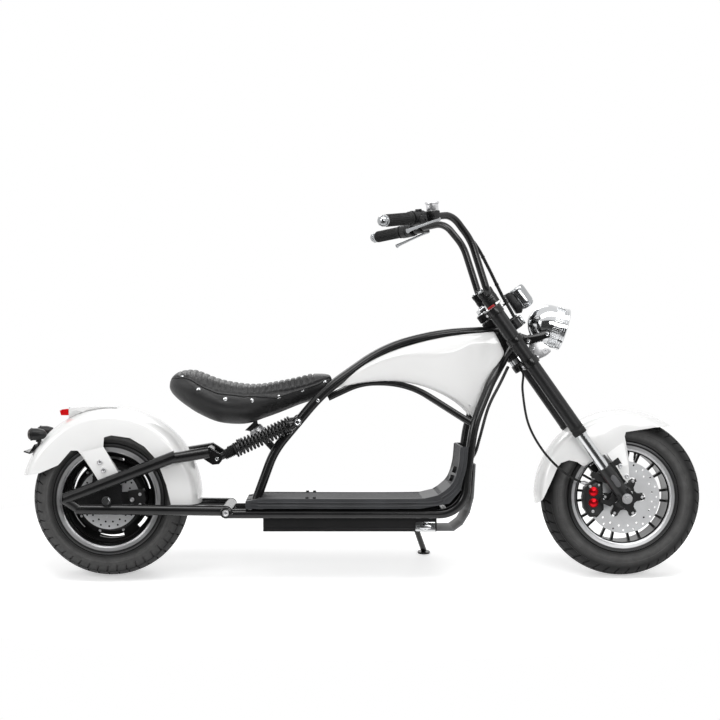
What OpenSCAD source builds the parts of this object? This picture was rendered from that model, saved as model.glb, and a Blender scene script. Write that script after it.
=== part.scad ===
// Electric chopper scooter, parked on its side stand.
// X runs forward, Y to the rider's left and Z up, in millimetres.
// Every piece is drawn upright, with the rear axle over X = 0, and parked() leans them together.

/* [Stance] */
// Distance between the two axles
wheelbase = 1562; // [1540:1:1590]
// Lean to the left on the side stand
lean_deg = 8; // [7:0.5:9]
// Steering axis from the upright
rake_deg = 35; // [34:0.5:36]
// Middle of the whole length, measured forward from the rear axle
middle_x = 768.7; // [700:0.1:850]
// Middle of the whole width, measured from where the wheels' plane meets the ground
middle_y = 147.9; // [100:0.1:200]

/* [Rear wheel] */
// Radius of the rear tyre
rear_tyre_r = 238.5; // [230:0.5:240]
// Width of the rear tyre
rear_tyre_w = 215; // [208:1:217]
// Radius of the rear tyre's crown across the tread
rear_crown_r = 150; // [130:5:200]
// Half width of the rear rim
rear_rim_half = 92; // [84:1:95]
// Radius of the hub motor's drum
motor_r = 112; // [100:1:116]
// Half width of the hub motor
motor_half = 62; // [54:1:64]
// Number of long slots between the motor and the rim
motor_slots = 6; // [4:1:8]

/* [Front wheel] */
// Radius of the front tyre
front_tyre_r = 243.5; // [235:0.5:245]
// Width of the front tyre
front_tyre_w = 130; // [122:1:134]
// Radius of the front tyre's crown across the tread
front_crown_r = 72; // [68:1:100]
// Half width of the front rim
front_rim_half = 52; // [46:1:53]
// Radius of the front hub's drum
hub_r = 36; // [32:1:42]
// Half width of the front hub
hub_half = 48; // [42:1:49]
// Number of spoke pairs in the front wheel
spoke_pairs = 10; // [8:1:12]
// Thickness of one spoke arm
spoke_t = 7; // [5:0.5:9]

/* [Both wheels] */
// Radius of the rim's bead seat
bead_r = 152; // [150:0.5:154]
// Outer radius of the rim's polished flange
flange_r = 168; // [165:0.5:171]
// Wall of the rim
rim_wall = 5; // [4:0.5:7]
// Radius of the axles
axle_r = 8; // [7:0.5:9]
// Running clearance round an axle, stem or pin
run_gap = 0.05; // [0.02:0.01:0.09]

/* [Brakes] */
// Outer radius of the front brake disc
front_disc_r = 110; // [100:1:114]
// Outer radius of the rear brake disc
rear_disc_r = 92; // [86:1:98]
// Thickness of a brake disc
disc_t = 4; // [3:0.5:5]
// Gap between a brake disc and its caliper's jaws
pad_gap = 2; // [1.5:0.5:3]
// Number of drilled holes in one ring of a disc
disc_holes = 20; // [12:1:24]

/* [Frame] */
// Radius of the lower rails and down tubes
rail_r = 14; // [12:0.5:15]
// Radius of the seat and spine tubes
spine_r = 14; // [12:0.5:15]
// Radius of the lower tank tubes
tank_tube_r = 9.5; // [8:0.5:11]
// Sideways place of the lower rails and down tubes
rail_y = 115; // [113:1:118]
// Height of the lower rails' centre
rail_z = 197; // [195:0.5:199]
// Distance from the front axle back to the down tubes
down_back = 458; // [450:1:466]
// Sideways place of the spine tubes under the tank covers
spine_y = 48; // [44:1:52]
// Sideways place of the seat tubes
seat_tube_y = 76; // [72:1:80]
// Outer radius of the steering head
head_r = 27; // [24:0.5:30]
// Radius of the steering stem
stem_r = 15; // [12:0.5:17]
// Thickness of the tank covers
cover_t = 30; // [24:1:36]

/* [Swingarm and shocks] */
// Radius of the swingarm's upper tubes
arm_r = 18; // [16:0.5:19]
// Radius of the swingarm's lower tubes
lower_arm_r = 16; // [14:0.5:17]
// Sideways place of the swingarm tubes
arm_y = 140; // [139:1:145]
// Outer radius of the shock springs
spring_r = 23; // [20:0.5:24]
// Radius of the spring wire
wire_r = 3.8; // [3:0.2:4.4]
// Turns of each shock spring
spring_turns = 10; // [7:1:12]
// Sideways place of the shocks
shock_y = 114; // [113:1:116]

/* [Fork] */
// Sideways place of the fork legs
fork_y = 106; // [105:1:112]
// How far the stem lies behind the fork legs
fork_offset = 20; // [16:1:26]
// Radius of the fork's outer tubes
fork_outer_r = 21; // [19:0.5:21.5]
// Radius of the polished sliding tubes
slider_r = 16.5; // [14:0.5:18]
// Height of the upper clamp's underside along the fork
top_clamp_w = 676; // [672:1:682]
// Height of the lower clamp's underside along the fork
low_clamp_w = 489; // [484:1:494]
// Thickness of the fork clamps
clamp_t = 25; // [20:1:28]
// Height of the handlebar risers
riser_h = 58; // [54:1:64]
// Radius of the handlebar tube
bar_r = 11.1; // [10.5:0.1:12.7]
// Radius of the grips
grip_r = 17; // [15:0.5:19]

/* [Fenders] */
// Outer radius of the front fender
front_fender_r = 264; // [260:1:270]
// Half width of the front fender
front_fender_half = 79; // [76:1:80]
// Outer radius of the rear fender
rear_fender_r = 277; // [270:1:282]
// Half width of the rear fender
rear_fender_half = 118; // [116:1:119]
// Wall of the fenders, covers and guard
shell_t = 3; // [2.5:0.5:4]

/* [Deck and battery] */
// Half width of the deck cover
deck_half = 134; // [131:1:140]
// Height of the deck cover's flat top
deck_z = 242; // [240:1:250]
// Half width of the battery box
battery_half = 96; // [85:1:98]
// Length of the battery box
battery_len = 525; // [500:1:530]
// Lowest height of the battery box
battery_z = 142; // [138:1:150]

/* [Seat] */
// Width of the seat at its widest
seat_w = 290; // [270:1:310]

/* [Lamps] */
// Radius of the number plate bracket's two holes
plate_hole_r = 3.2; // [2.5:0.1:4]
// Sideways place of those holes
plate_hole_y = 50; // [45:1:58]
// Thickness of that bracket
bracket_t = 4; // [3:0.5:5]
// Radius of the headlight's rim
lamp_r = 63; // [58:1:68]
// Depth of the headlight's bowl
lamp_depth = 112; // [100:1:120]
// Radius of the speedometer's cup
speedo_r = 31; // [27:1:34]

/* [Side stand] */
// Sideways distance of the stand's foot from the wheels' plane
foot_y = 262; // [250:1:275]
// Radius of the stand's leg
stand_r = 9; // [8:0.5:10]
// Radius of the stand's pivot pin
stand_pin_r = 5; // [4:0.5:6]

/* [Hidden] */
$fn = 48;

// Small gap between pieces that touch on the real scooter
seat_gap = 0.3;
// Overlap that makes a cut pass right through
cut = 1;
// How much thinner a tube's straights are than its bends, and how far they slip in
slip = 0.05;
slip_in = 0.5;

// A wheel that leans rolls on its crown, so its centre sits a little higher than its radius
rear_h = rear_tyre_r - rear_crown_r + rear_crown_r / cos(lean_deg);
front_h = front_tyre_r - front_crown_r + front_crown_r / cos(lean_deg);
// Sideways place of the brake discs' inner faces, on the rider's right
rear_disc_y = motor_half + 18;
front_disc_y = hub_half + 14;
// Front of the frame, which the deck, covers and guard follow
down_x = wheelbase - down_back;
// Ends of the steering head, between the fork's clamps
head_low_w = low_clamp_w + clamp_t + 17;
head_high_w = top_clamp_w - 4;
head_mid_w = (head_low_w + head_high_w) / 2;
// Rear end of the battery box
battery_x = 467;
// Side-view places of the swingarm's pivot, its tail and the shock's eyes
arm_pivot = [358, 205];
arm_tail = [-128, 243];
shock_low = [329, 364];
shock_high = [571, 474];
// Radius of the shock pins and of the pivot bolt
shock_pin_r = 7;
pivot_bolt_r = 7;
// Radius and half length of the frame's pivot tube
pivot_tube_r = 18;
pivot_half = rail_y + 5;
// Cross tube that carries the seat's damper
damper_tube = [501, 384];
// Places of the seat's hinge bolt
seat_hinge_at = [632, 538];

// Point of the side view for a place on the fork: u forward of the legs, w up along them
function on_fork(u, w) = [
  wheelbase + u * cos(rake_deg) - w * sin(rake_deg),
  front_h + u * sin(rake_deg) + w * cos(rake_deg)
];
// Point on the steering axis
function on_stem(w) = on_fork(-fork_offset, w);
function side(p, y) = [p[0], y, p[1]];
function unit(v) = v / norm(v);

// Centre lines of the frame tubes on the rider's left
spine_path = [
  [437, seat_tube_y, rail_z + 16], [500, seat_tube_y, 385], [650, seat_tube_y, 565],
  [840, spine_y, 700], [1010, spine_y, 743], side(on_stem(head_high_w - 40), 22)
];
spine_bends = [260, 500, 420, 600];
tank_path = [
  [664, seat_tube_y - 20, 545], [765, spine_y + 4, 592], [905, spine_y + 4, 592],
  [down_x, rail_y - 6, 466]
];
tank_bends = [200, 260];
cradle_path = [
  side(on_stem(head_low_w + 35), 20), [down_x + 52, 88, 592], [down_x, rail_y, 470],
  [down_x - 20, rail_y, 330],
  [down_x - 30, rail_y, rail_z], [arm_pivot[0], rail_y, rail_z]
];
cradle_bends = [110, 300, 300, 82];

// Moves the upright drawing to its parked place
module parked() {
  translate([-middle_x, -middle_y, 0]) rotate([-lean_deg, 0, 0]) children();
}
module both_sides() {
  children();
  mirror([0, 1, 0]) children();
}
// Slab between two sideways places, from an outline drawn as X and Z
module slab(y0, y1) {
  translate([0, y1, 0]) rotate([90, 0, 0]) linear_extrude(height = y1 - y0) children();
}
// Ring about the Y axis, from a profile drawn as radius and width
module about_axle() {
  rotate([-90, 0, 0]) rotate_extrude($fn = 72) children();
}
module fork_frame() {
  translate([wheelbase, 0, front_h]) rotate([0, -rake_deg, 0]) children();
}
// Puts children where x and y run along the given directions
module turned(x, y, at) {
  z = cross(x, y);
  multmatrix([
    [x[0], y[0], z[0], at[0]],
    [x[1], y[1], z[1], at[1]],
    [x[2], y[2], z[2], at[2]],
    [0, 0, 0, 1]
  ])
    children();
}
// Straight round bar between two points
module rod(a, b, r) {
  d = b - a;
  translate(a) rotate([0, acos(d[2] / norm(d)), atan2(d[1], d[0])]) cylinder(r = r, h = norm(d));
}
// Round bar along Y
module cross_rod(x, z, y0, y1, r) {
  translate([x, y1, z]) rotate([90, 0, 0]) cylinder(r = r, h = y1 - y0);
}
// Tube through corner points, each inner corner rounded by its own bend radius.
// The straights are a hair thinner and slip a little way into the bends.
module bent_tube(points, bends, r) {
  last = len(points) - 1;
  ways = [for (i = [0:last - 1]) unit(points[i + 1] - points[i])];
  turns = [for (i = [0:last - 2]) acos(min(1, ways[i] * ways[i + 1]))];
  trims = [for (i = [0:last - 2]) bends[i] * tan(turns[i] / 2)];
  for (i = [0:last - 1])
    rod(
      points[i] + ways[i] * (i == 0 ? 0 : trims[i - 1] - slip_in),
      points[i + 1] - ways[i] * (i == last - 1 ? 0 : trims[i] - slip_in),
      r - slip
    );
  for (i = [0:last - 2]) {
    inward = unit(ways[i + 1] - ways[i] * cos(turns[i]));
    turned(-inward, ways[i], points[i + 1] - ways[i] * trims[i] + inward * bends[i])
      rotate_extrude(angle = turns[i]) translate([bends[i], 0]) circle(r = r);
  }
}
// Corner points of one ring of a swept cable
function sweep_ring(points, i, r, sides) =
  let (
    way = unit(points[min(i + 1, len(points) - 1)] - points[max(i - 1, 0)]),
    side_way = unit(cross(way, [0.13, 0.31, 0.94])),
    up_way = cross(side_way, way)
  )
  [for (k = [0:sides - 1])
    points[i] + r * (side_way * cos(360 * k / sides) + up_way * sin(360 * k / sides))];
// Solid skin over rings of points, closed at both ends
module skin(rings) {
  sides = len(rings[0]);
  last = len(rings) - 1;
  polyhedron(
    points = [for (ring = rings) each ring],
    faces = concat(
      [[for (k = [0:sides - 1]) k]],
      [for (i = [0:last - 1]) for (k = [0:sides - 1]) let (next = (k + 1) % sides)
        [i * sides + k, (i + 1) * sides + k, (i + 1) * sides + next, i * sides + next]],
      [[for (k = [sides - 1:-1:0]) last * sides + k]]
    )
  );
}
module swept_cable(points, r, sides) {
  skin([for (i = [0:len(points) - 1]) sweep_ring(points, i, r, sides)]);
}
// Smooth curve through the chosen points
function smooth(p, steps) = [
  for (i = [0:len(p) - 2]) for (s = [0:steps - 1])
    let (t = s / steps, a = p[max(i - 1, 0)], b = p[i], c = p[i + 1], d = p[min(i + 2, len(p) - 1)])
      0.5 * (2 * b + (c - a) * t + (2 * a - 5 * b + 4 * c - d) * t * t + (3 * b - a - 3 * c + d) * t * t * t),
  p[len(p) - 1]
];

// Wheels

// Section of a tyre as radius and width, from bead to crown to bead
function tyre_section(outer_r, width, crown_r, rim_half) =
  let (
    swing = asin((width / 2 - 15) / crown_r),
    drop = crown_r - crown_r * cos(swing),
    wall = [[bead_r, rim_half - 4.6], [flange_r - 2.7, rim_half - 0.6], [flange_r + 1.5, rim_half + 3.4],
            [bead_r + 32, width / 2 - 2], [bead_r + 42, width / 2], [outer_r - drop - 16, width / 2 - 2],
            [outer_r - drop - 5, width / 2 - 8]]
  )
  concat(
    [for (i = [0:6]) [wall[i][0], -wall[i][1]]],
    [for (i = [-5:5]) let (a = swing * i / 5) [outer_r - crown_r + crown_r * cos(a), crown_r * sin(a)]],
    [for (i = [6:-1:0]) wall[i]]
  );
module rear_tyre() {
  color("#1d1d1e") parked() translate([0, 0, rear_h])
    about_axle() polygon(tyre_section(rear_tyre_r, rear_tyre_w, rear_crown_r, rear_rim_half));
}
module front_tyre() {
  color("#1d1d1e") parked() translate([wheelbase, 0, front_h])
    about_axle() polygon(tyre_section(front_tyre_r, front_tyre_w, front_crown_r, front_rim_half));
}
// Polished flange ring on each side of a rim
module rim_lips(half) {
  both_sides()
    about_axle()
      polygon([[bead_r - 14, half - 4], [bead_r - 14, half + 1], [bead_r - 8, half + 3],
               [bead_r - 4, half + 6], [flange_r - 5, half + 8], [flange_r - 1, half + 7],
               [flange_r, half + 4], [flange_r - 3, half], [bead_r - 2, half - 4]]);
}
// Well of the rim between the flanges
module barrel(half) {
  about_axle()
    polygon([[bead_r - 14, -half + 4], [bead_r - 0.5, -half + 4], [bead_r - 0.5, -half + 14],
             [bead_r - 8, -half + 26], [bead_r - 8, half - 26], [bead_r - 0.5, half - 14],
             [bead_r - 0.5, half - 4], [bead_r - 14, half - 4],
             [bead_r - 8 - rim_wall, half - 26], [bead_r - 8 - rim_wall, -half + 26]]);
}
module rear_rim() {
  // Half of the angle of the web that stays between two slots
  web_deg = 12;
  color("#17181a") parked() translate([0, 0, rear_h]) {
    difference() {
      union() {
        barrel(rear_rim_half);
        about_axle()
          polygon([[axle_r + run_gap, -motor_half], [52, -motor_half], [58, -motor_half + 5],
                   [motor_r - 12, -motor_half + 9], [motor_r, -motor_half + 20],
                   [motor_r, -8], [bead_r - 8 - rim_wall + 1, -8], [bead_r - 8 - rim_wall + 1, 8],
                   [motor_r, 8], [motor_r, motor_half - 20], [motor_r - 12, motor_half - 9],
                   [58, motor_half - 5], [52, motor_half], [axle_r + run_gap, motor_half]]);
      }
      for (k = [0:motor_slots - 1])
        rotate([0, k * 360 / motor_slots, 0]) rotate([90, 0, 0])
          translate([0, 0, -20]) rotate([0, 0, web_deg])
            rotate_extrude(angle = 360 / motor_slots - 2 * web_deg, $fn = 72)
              translate([motor_r + 4, 0]) square([10, 40]);
    }
  }
}
module rear_rim_lips() {
  color("#d8dadd") parked() translate([0, 0, rear_h]) rim_lips(rear_rim_half);
}
// Drilled brake disc whose inner face is at y on the rider's right
module brake_disc(outer_r, inner_r, y) {
  difference() {
    cross_rod(0, 0, -y - disc_t, -y, outer_r);
    cross_rod(0, 0, -y - disc_t - cut, -y + cut, inner_r);
    for (k = [0:disc_holes - 1], ring = [0:1])
      rotate([0, (k + ring / 2) * 360 / disc_holes, 0])
        translate([outer_r - 9 - ring * 13, -y + cut, 0])
          rotate([90, 0, 0]) cylinder(r = 3.2, h = disc_t + 2 * cut, $fn = 8);
  }
}
module rear_disc() {
  color("#b9bcc0") parked() translate([0, 0, rear_h]) {
    brake_disc(rear_disc_r, 40, rear_disc_y);
    difference() {
      cross_rod(0, 0, -rear_disc_y - cut, -motor_half, 44);
      cross_rod(0, 0, -rear_disc_y - 2 * cut, -motor_half + cut, 22);
    }
  }
}
// Two straight arms that start together at the hub and part towards the rim
module spoke_pair() {
  tip_r = bead_r - 8 - rim_wall + 1;
  for (way = [-1, 1])
    slab(-9, 9)
      polygon([[hub_r - 4, way * 5 - spoke_t / 2], [tip_r, way * 17 - spoke_t / 2],
               [tip_r, way * 17 + spoke_t / 2], [hub_r - 4, way * 5 + spoke_t / 2]]);
}
module front_rim() {
  color("#17181a") parked() translate([wheelbase, 0, front_h]) {
    barrel(front_rim_half);
    difference() {
      union() {
        cross_rod(0, 0, -hub_half, hub_half, hub_r - 10);
        cross_rod(0, 0, -16, 16, hub_r);
        for (k = [0:spoke_pairs - 1])
          rotate([0, k * 360 / spoke_pairs, 0]) spoke_pair();
      }
      cross_rod(0, 0, -hub_half - cut, hub_half + cut, axle_r + run_gap);
    }
  }
}
module front_rim_lips() {
  color("#d8dadd") parked() translate([wheelbase, 0, front_h]) rim_lips(front_rim_half);
}
module front_disc() {
  carrier_r = front_disc_r - 34;
  color("#b9bcc0") parked() translate([wheelbase, 0, front_h]) {
    brake_disc(front_disc_r, carrier_r - 4, front_disc_y);
    difference() {
      cross_rod(0, 0, -front_disc_y - disc_t, -front_disc_y, carrier_r);
      cross_rod(0, 0, -front_disc_y - disc_t - cut, -front_disc_y + cut, 18);
      for (k = [0:5])
        rotate([0, k * 60, 0])
          cross_rod(carrier_r - 22, 0, -front_disc_y - disc_t - cut, -front_disc_y + cut, 13);
    }
    difference() {
      cross_rod(0, 0, -front_disc_y - cut, -hub_half, hub_r - 10);
      cross_rod(0, 0, -front_disc_y - 2 * cut, -hub_half + cut, 18);
    }
  }
}

// Frame

// Tapered gusset box behind the steering head
module gusset_shape(grow) {
  // Corners as distance forward of the stem and height along it
  corners = [[-62, head_high_w + 6 + grow], [-40, head_high_w - 4 + grow], [0, head_high_w - 17],
             [0, head_low_w + 9], [-26 - grow, head_low_w + 14], [-18 - grow, head_mid_w + 5.5 - grow],
             [-85 - grow, head_high_w - 10 - grow]];
  slab(-19 - grow, 19 + grow) polygon([for (c = corners) on_fork(c[0] - fork_offset, c[1])]);
}
module neck() {
  color("#1c1d1f") parked() difference() {
    union() {
      rod(side(on_stem(head_low_w), 0), side(on_stem(head_high_w), 0), head_r);
      gusset_shape(0);
    }
    rod(side(on_stem(head_low_w - cut), 0), side(on_stem(head_high_w + cut), 0), stem_r + run_gap);
  }
}
// Room that the tubes leave for the steering head they are welded to
module neck_space() {
  rod(side(on_stem(low_clamp_w + 11), 0), side(on_stem(top_clamp_w + 24), 0), head_r + seat_gap);
  gusset_shape(seat_gap);
}
module spine_tubes() {
  color("#1c1d1f") parked() {
    difference() {
      both_sides() bent_tube(spine_path, spine_bends, spine_r);
      neck_space();
    }
    // Pins that carry the shocks' upper eyes
    both_sides() cross_rod(shock_high[0], shock_high[1], seat_tube_y - 4, shock_y + 18, shock_pin_r);
  }
}
module tank_rails() {
  color("#1c1d1f") parked() difference() {
    both_sides() bent_tube(tank_path, tank_bends, tank_tube_r);
    both_sides() rod(spine_path[1], spine_path[2], spine_r + seat_gap);
    both_sides() bent_tube([for (i = [0:3]) cradle_path[i]], [110, 300], rail_r + seat_gap);
  }
}
module cradle_tubes() {
  color("#1c1d1f") parked() {
    difference() {
      both_sides() bent_tube(cradle_path, cradle_bends, rail_r);
      neck_space();
      cross_rod(arm_pivot[0], arm_pivot[1], -arm_y, arm_y, pivot_tube_r + seat_gap);
    }
    stand_bracket();
  }
}
// Cross tubes between the rails, with the swingarm's pivot and the seat tubes' foot
module crossmembers() {
  inner = rail_y - rail_r - seat_gap;
  damper_half = seat_tube_y - spine_r - seat_gap;
  color("#1c1d1f") parked() {
    for (x = [437, down_x - 84])
      difference() {
        cross_rod(x, rail_z + 4, -inner, inner, 11);
        both_sides()
          bent_tube([spine_path[0] - [0, 0, 8], spine_path[1], spine_path[2]], [260], spine_r + seat_gap);
      }
    cross_rod(damper_tube[0], damper_tube[1], -damper_half, damper_half, 9);
    difference() {
      cross_rod(arm_pivot[0], arm_pivot[1], -pivot_half, pivot_half, pivot_tube_r);
      cross_rod(arm_pivot[0], arm_pivot[1], -pivot_half - cut, pivot_half + cut, pivot_bolt_r + seat_gap);
    }
  }
}
// Padded-looking covers outboard of the spine tubes, tapered towards their edges
module tank_covers() {
  inner_y = spine_y + spine_r + 3.4;
  top = [for (i = [2:5]) [spine_path[i][0], spine_path[i][2] - 5]];
  low = [for (i = [3:-1:1]) [tank_path[i][0], tank_path[i][2] + tank_tube_r + 5]];
  front = on_stem(head_low_w + 29);
  color("#f4f4f2") parked() both_sides() difference() {
    union() {
      hull() {
        slab(inner_y, inner_y + 10) polygon([top[0] + [46, 18], top[1], low[1], low[2]]);
        slab(inner_y + 10, inner_y + cover_t)
          polygon([top[0] + [130, 52], top[1] + [20, -24], low[1] + [10, 26], low[2] + [40, 14]]);
      }
      hull() {
        slab(inner_y, inner_y + 10)
          polygon([top[1], top[2], top[3] + [-56, -4], front + [-86, 8], low[0] + [-20, 24], low[1]]);
        slab(inner_y + 10, inner_y + cover_t)
          polygon([top[1] + [20, -24], top[2] + [0, -32], top[3] + [-66, -34], low[0] + [-40, 70],
                   low[1] + [10, 26]]);
      }
      // Thin front edge, which the fork legs swing past
      slab(inner_y, inner_y + 10)
        polygon([top[3] + [-60, -4], top[3] + [-12, 0], front + [-58, 20], low[0] + [-20, 24],
                 front + [-90, 8]]);
    }
    bent_tube([for (i = [1:4]) spine_path[i]], [for (i = [1:2]) spine_bends[i]], spine_r + seat_gap);
  }
}
module deck_cover() {
  // Outline of the cover from its rear end to the top of its front curve
  top = [[415, 214], [415, deck_z - 6], [450, deck_z], [down_x - 164, deck_z], [down_x - 104, deck_z + 14],
         [down_x - 64, deck_z + 48], [down_x - 46, deck_z + 98], [down_x - 40, deck_z + 158]];
  under = [[down_x - 34, deck_z + 158], [down_x - 40, deck_z + 98], [down_x - 57, deck_z + 44],
           [down_x - 98, deck_z + 7], [down_x - 164, deck_z - 7], [421, deck_z - 7], [421, 214]];
  skirt = [[down_x - 18, deck_z + 158], [down_x - 26, deck_z + 96], [down_x - 42, deck_z + 28],
           [down_x - 76, deck_z - 12], [down_x - 164, 214]];
  color("#5a5d61") parked() difference() {
    union() {
      slab(-deck_half, deck_half) polygon(concat(top, under));
      both_sides() slab(rail_y + rail_r + seat_gap, deck_half) polygon(concat(top, skirt));
    }
    // Two grooves along each side
    for (z = [deck_z - 13, deck_z - 22])
      both_sides() slab(deck_half - 2, deck_half + cut)
        polygon([[430, z], [down_x - 170, z], [down_x - 170, z + 3], [430, z + 3]]);
    // Notches round the seat tubes
    both_sides() hull() {
      rod(spine_path[0], spine_path[1], spine_r + 1);
      rod(spine_path[0] - [60, 0, 0], spine_path[1] - [60, 0, 0], spine_r + 1);
    }
  }
}
module battery_box() {
  color("#121314") parked()
    translate([battery_x, -battery_half, battery_z])
      cube([battery_len, 2 * battery_half, deck_z - 7 - seat_gap - battery_z]);
}
module battery_latch() {
  x = battery_x + battery_len - 35;
  z = battery_z + 15;
  color("#c9ccd0") parked() {
    slab(-battery_half - 4, -battery_half - seat_gap)
      polygon([[x - 30, z - 8], [x - 24, z - 14], [x + 26, z - 14], [x + 32, z - 8], [x + 32, z + 8],
               [x + 26, z + 14], [x - 24, z + 14], [x - 30, z + 8]]);
    cross_rod(x, z, -battery_half - 13, -battery_half - 3, 11);
    slab(-battery_half - 20, -battery_half - 12)
      polygon([[x - 18, z - 4], [x + 14, z - 6], [x + 18, z], [x + 14, z + 6], [x - 18, z + 4]]);
  }
}
module front_guard() {
  start_x = battery_x + battery_len + seat_gap;
  color("#6a6d70") parked()
    slab(-rail_y + rail_r + seat_gap, rail_y - rail_r - seat_gap)
      polygon([[start_x, 150], [down_x - 62, 150], [down_x - 38, 168], [down_x - 18, 202], [down_x - 6, 246],
               [down_x, 346], [down_x + 6, 346], [down_x, 245], [down_x - 12, 199],
               [down_x - 34, 163], [down_x - 60, 144], [start_x, 144]]);
}
module deck_caps() {
  color("#101112") parked() for (p = [[-60.6, 58], [-51.4, 84]])
    translate([down_x + p[0], -60, deck_z + p[1]]) rotate([0, -70, 0]) translate([0, 0, seat_gap])
      cylinder(r = 10, h = 10);
}
// Seat stations: distance forward, lowest, highest, half width as a share of the whole
seat_stations = [
  [178, 578, 596, 0.20], [184, 568, 616, 0.46], [208, 538, 633, 0.76], [239, 514, 639, 0.90],
  [270, 494, 627, 0.96], [331, 468, 601, 1.00], [408, 465, 588, 0.96], [460, 484, 588, 0.82],
  [516, 503, 597, 0.64], [578, 528, 611, 0.52], [639, 547, 628, 0.45], [668, 562, 628, 0.38],
  [678, 578, 612, 0.24]
];
function seat_ring(s) = [
  for (k = [0:23]) let (a = 15 * k, c = cos(a), d = sin(a))
    [s[0], seat_w / 2 * s[3] * sign(c) * pow(abs(c), 0.6),
     (s[1] + s[2]) / 2 + (s[2] - s[1]) / 2 * sign(d) * pow(abs(d), 0.75)]
];
module seat() {
  color("#202123") parked() skin([for (s = seat_stations) seat_ring(s)]);
}
module seat_hinge() {
  seat_bolt_half = seat_tube_y - spine_r - 1;
  color("#c9ccd0") parked() {
    cross_rod(seat_hinge_at[0], seat_hinge_at[1], -seat_bolt_half, seat_bolt_half, 5);
    cross_rod(arm_pivot[0], arm_pivot[1], -arm_y - 26, arm_y + 26, pivot_bolt_r);
    both_sides() cross_rod(arm_pivot[0], arm_pivot[1], arm_y + 18 + seat_gap, arm_y + 30, 11);
  }
}
module seat_damper() {
  top = [424, 465];
  foot = damper_tube;
  d = top - foot;
  color("#c9ccd0") parked()
    translate(side(foot, 0)) rotate([0, atan2(d[0], d[1]), 0]) difference() {
      rotate_extrude() polygon([[0, 0], [9, 0], [9, 40], [19, 44], [21, 50], [21, 68], [17, 74], [17, 78],
                                [24, 90], [26, norm(d) - 5.5], [0, norm(d) - 5.5]]);
      rotate([90, 0, 0]) translate([0, 0, -30]) cylinder(r = 9 + seat_gap, h = 60);
    }
}

// Rear end

module swingarm() {
  color("#1c1d1f") parked() difference() {
    union() {
      both_sides() {
        rod(side(arm_tail, arm_y), [206, arm_y, 372], arm_r);
        rod([196, arm_y, 366], [306, arm_y, 384], arm_r - 1);
        rod(side(arm_tail, arm_y), [-80, arm_y, 212], lower_arm_r - 1);
        rod([-92, arm_y, 214], [arm_pivot[0], arm_y, 209], lower_arm_r);
        slab(arm_y - 5, arm_y + 5) polygon([[-96, 226], [-90, 252], [30, 292], [46, 286], [46, 216], [-70, 216]]);
        // Tab that the fender's strut is bolted to
        slab(rear_fender_half + seat_gap, rear_fender_half + 8)
          polygon([[-46, 296], [-40, 352], [-24, 364], [-8, 356], [10, 300], [0, 286], [-40, 276]]);
        // Boss on the frame's pivot tube
        cross_rod(arm_pivot[0], arm_pivot[1], pivot_half + seat_gap, arm_y, pivot_tube_r);
        // Plates that hold the shock's lower eye
        for (y = [shock_y - 15, shock_y + 12])
          slab(y, y + 4) polygon([[288, 390], [306, 398], [344, 374], [336, 348], [316, 346], [288, 364]]);
      }
      cross_rod(300, 380, -arm_y, arm_y, 14);
    }
    cross_rod(0, rear_h, -arm_y - 20, arm_y + 20, axle_r + seat_gap);
    cross_rod(arm_pivot[0], arm_pivot[1], -arm_y - 30, arm_y + 30, pivot_bolt_r + seat_gap);
    both_sides() cross_rod(shock_low[0], shock_low[1], shock_y - 20, shock_y + 20, shock_pin_r);
  }
}
// Places children at the lower eye with z along the shock
module on_shock() {
  d = shock_high - shock_low;
  translate(side(shock_low, shock_y)) rotate([0, atan2(d[0], d[1]), 0]) children();
}
shock_len = norm(shock_high - shock_low);
module shock_bodies() {
  color("#1b1c1e") parked() both_sides() {
    on_shock() difference() {
      union() {
        rotate_extrude()
          polygon([[0, 4], [10.6, 4], [10.6, 34], [13, 38], [13, 60], [spring_r, 60], [spring_r, 65], [13, 65],
                   [13, shock_len - 32], [spring_r, shock_len - 32], [spring_r, shock_len - 25],
                   [16, shock_len - 25], [12, shock_len - 4], [0, shock_len - 4]]);
        for (z = [0, shock_len])
          translate([0, 11 - seat_gap, z]) rotate([90, 0, 0]) cylinder(r = 15, h = 22 - 2 * seat_gap);
      }
      for (z = [0, shock_len])
        translate([0, 20, z]) rotate([90, 0, 0]) cylinder(r = shock_pin_r + seat_gap, h = 40);
    }
    cross_rod(shock_low[0], shock_low[1], shock_y - 16, shock_y + 18, shock_pin_r - seat_gap);
  }
}
spring_low = 65 + seat_gap;
spring_high = shock_len - 32 - seat_gap;
function helix_ring(turn) =
  let (
    a = 360 * turn,
    mid_r = spring_r - wire_r,
    half_wire = wire_r * sin(60),
    pitch = (spring_high - spring_low - 2 * half_wire) / spring_turns,
    out = [cos(a), sin(a), 0],
    centre = mid_r * out + [0, 0, spring_low + half_wire + pitch * turn]
  )
  [for (k = [0:5]) centre + wire_r * (cos(60 * k) * out + sin(60 * k) * [0, 0, 1])];
module shock_springs() {
  per_turn = 14;
  color("#26282a") parked() both_sides() on_shock()
    skin([for (i = [0:per_turn * spring_turns]) helix_ring(i / per_turn)]);
}
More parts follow.
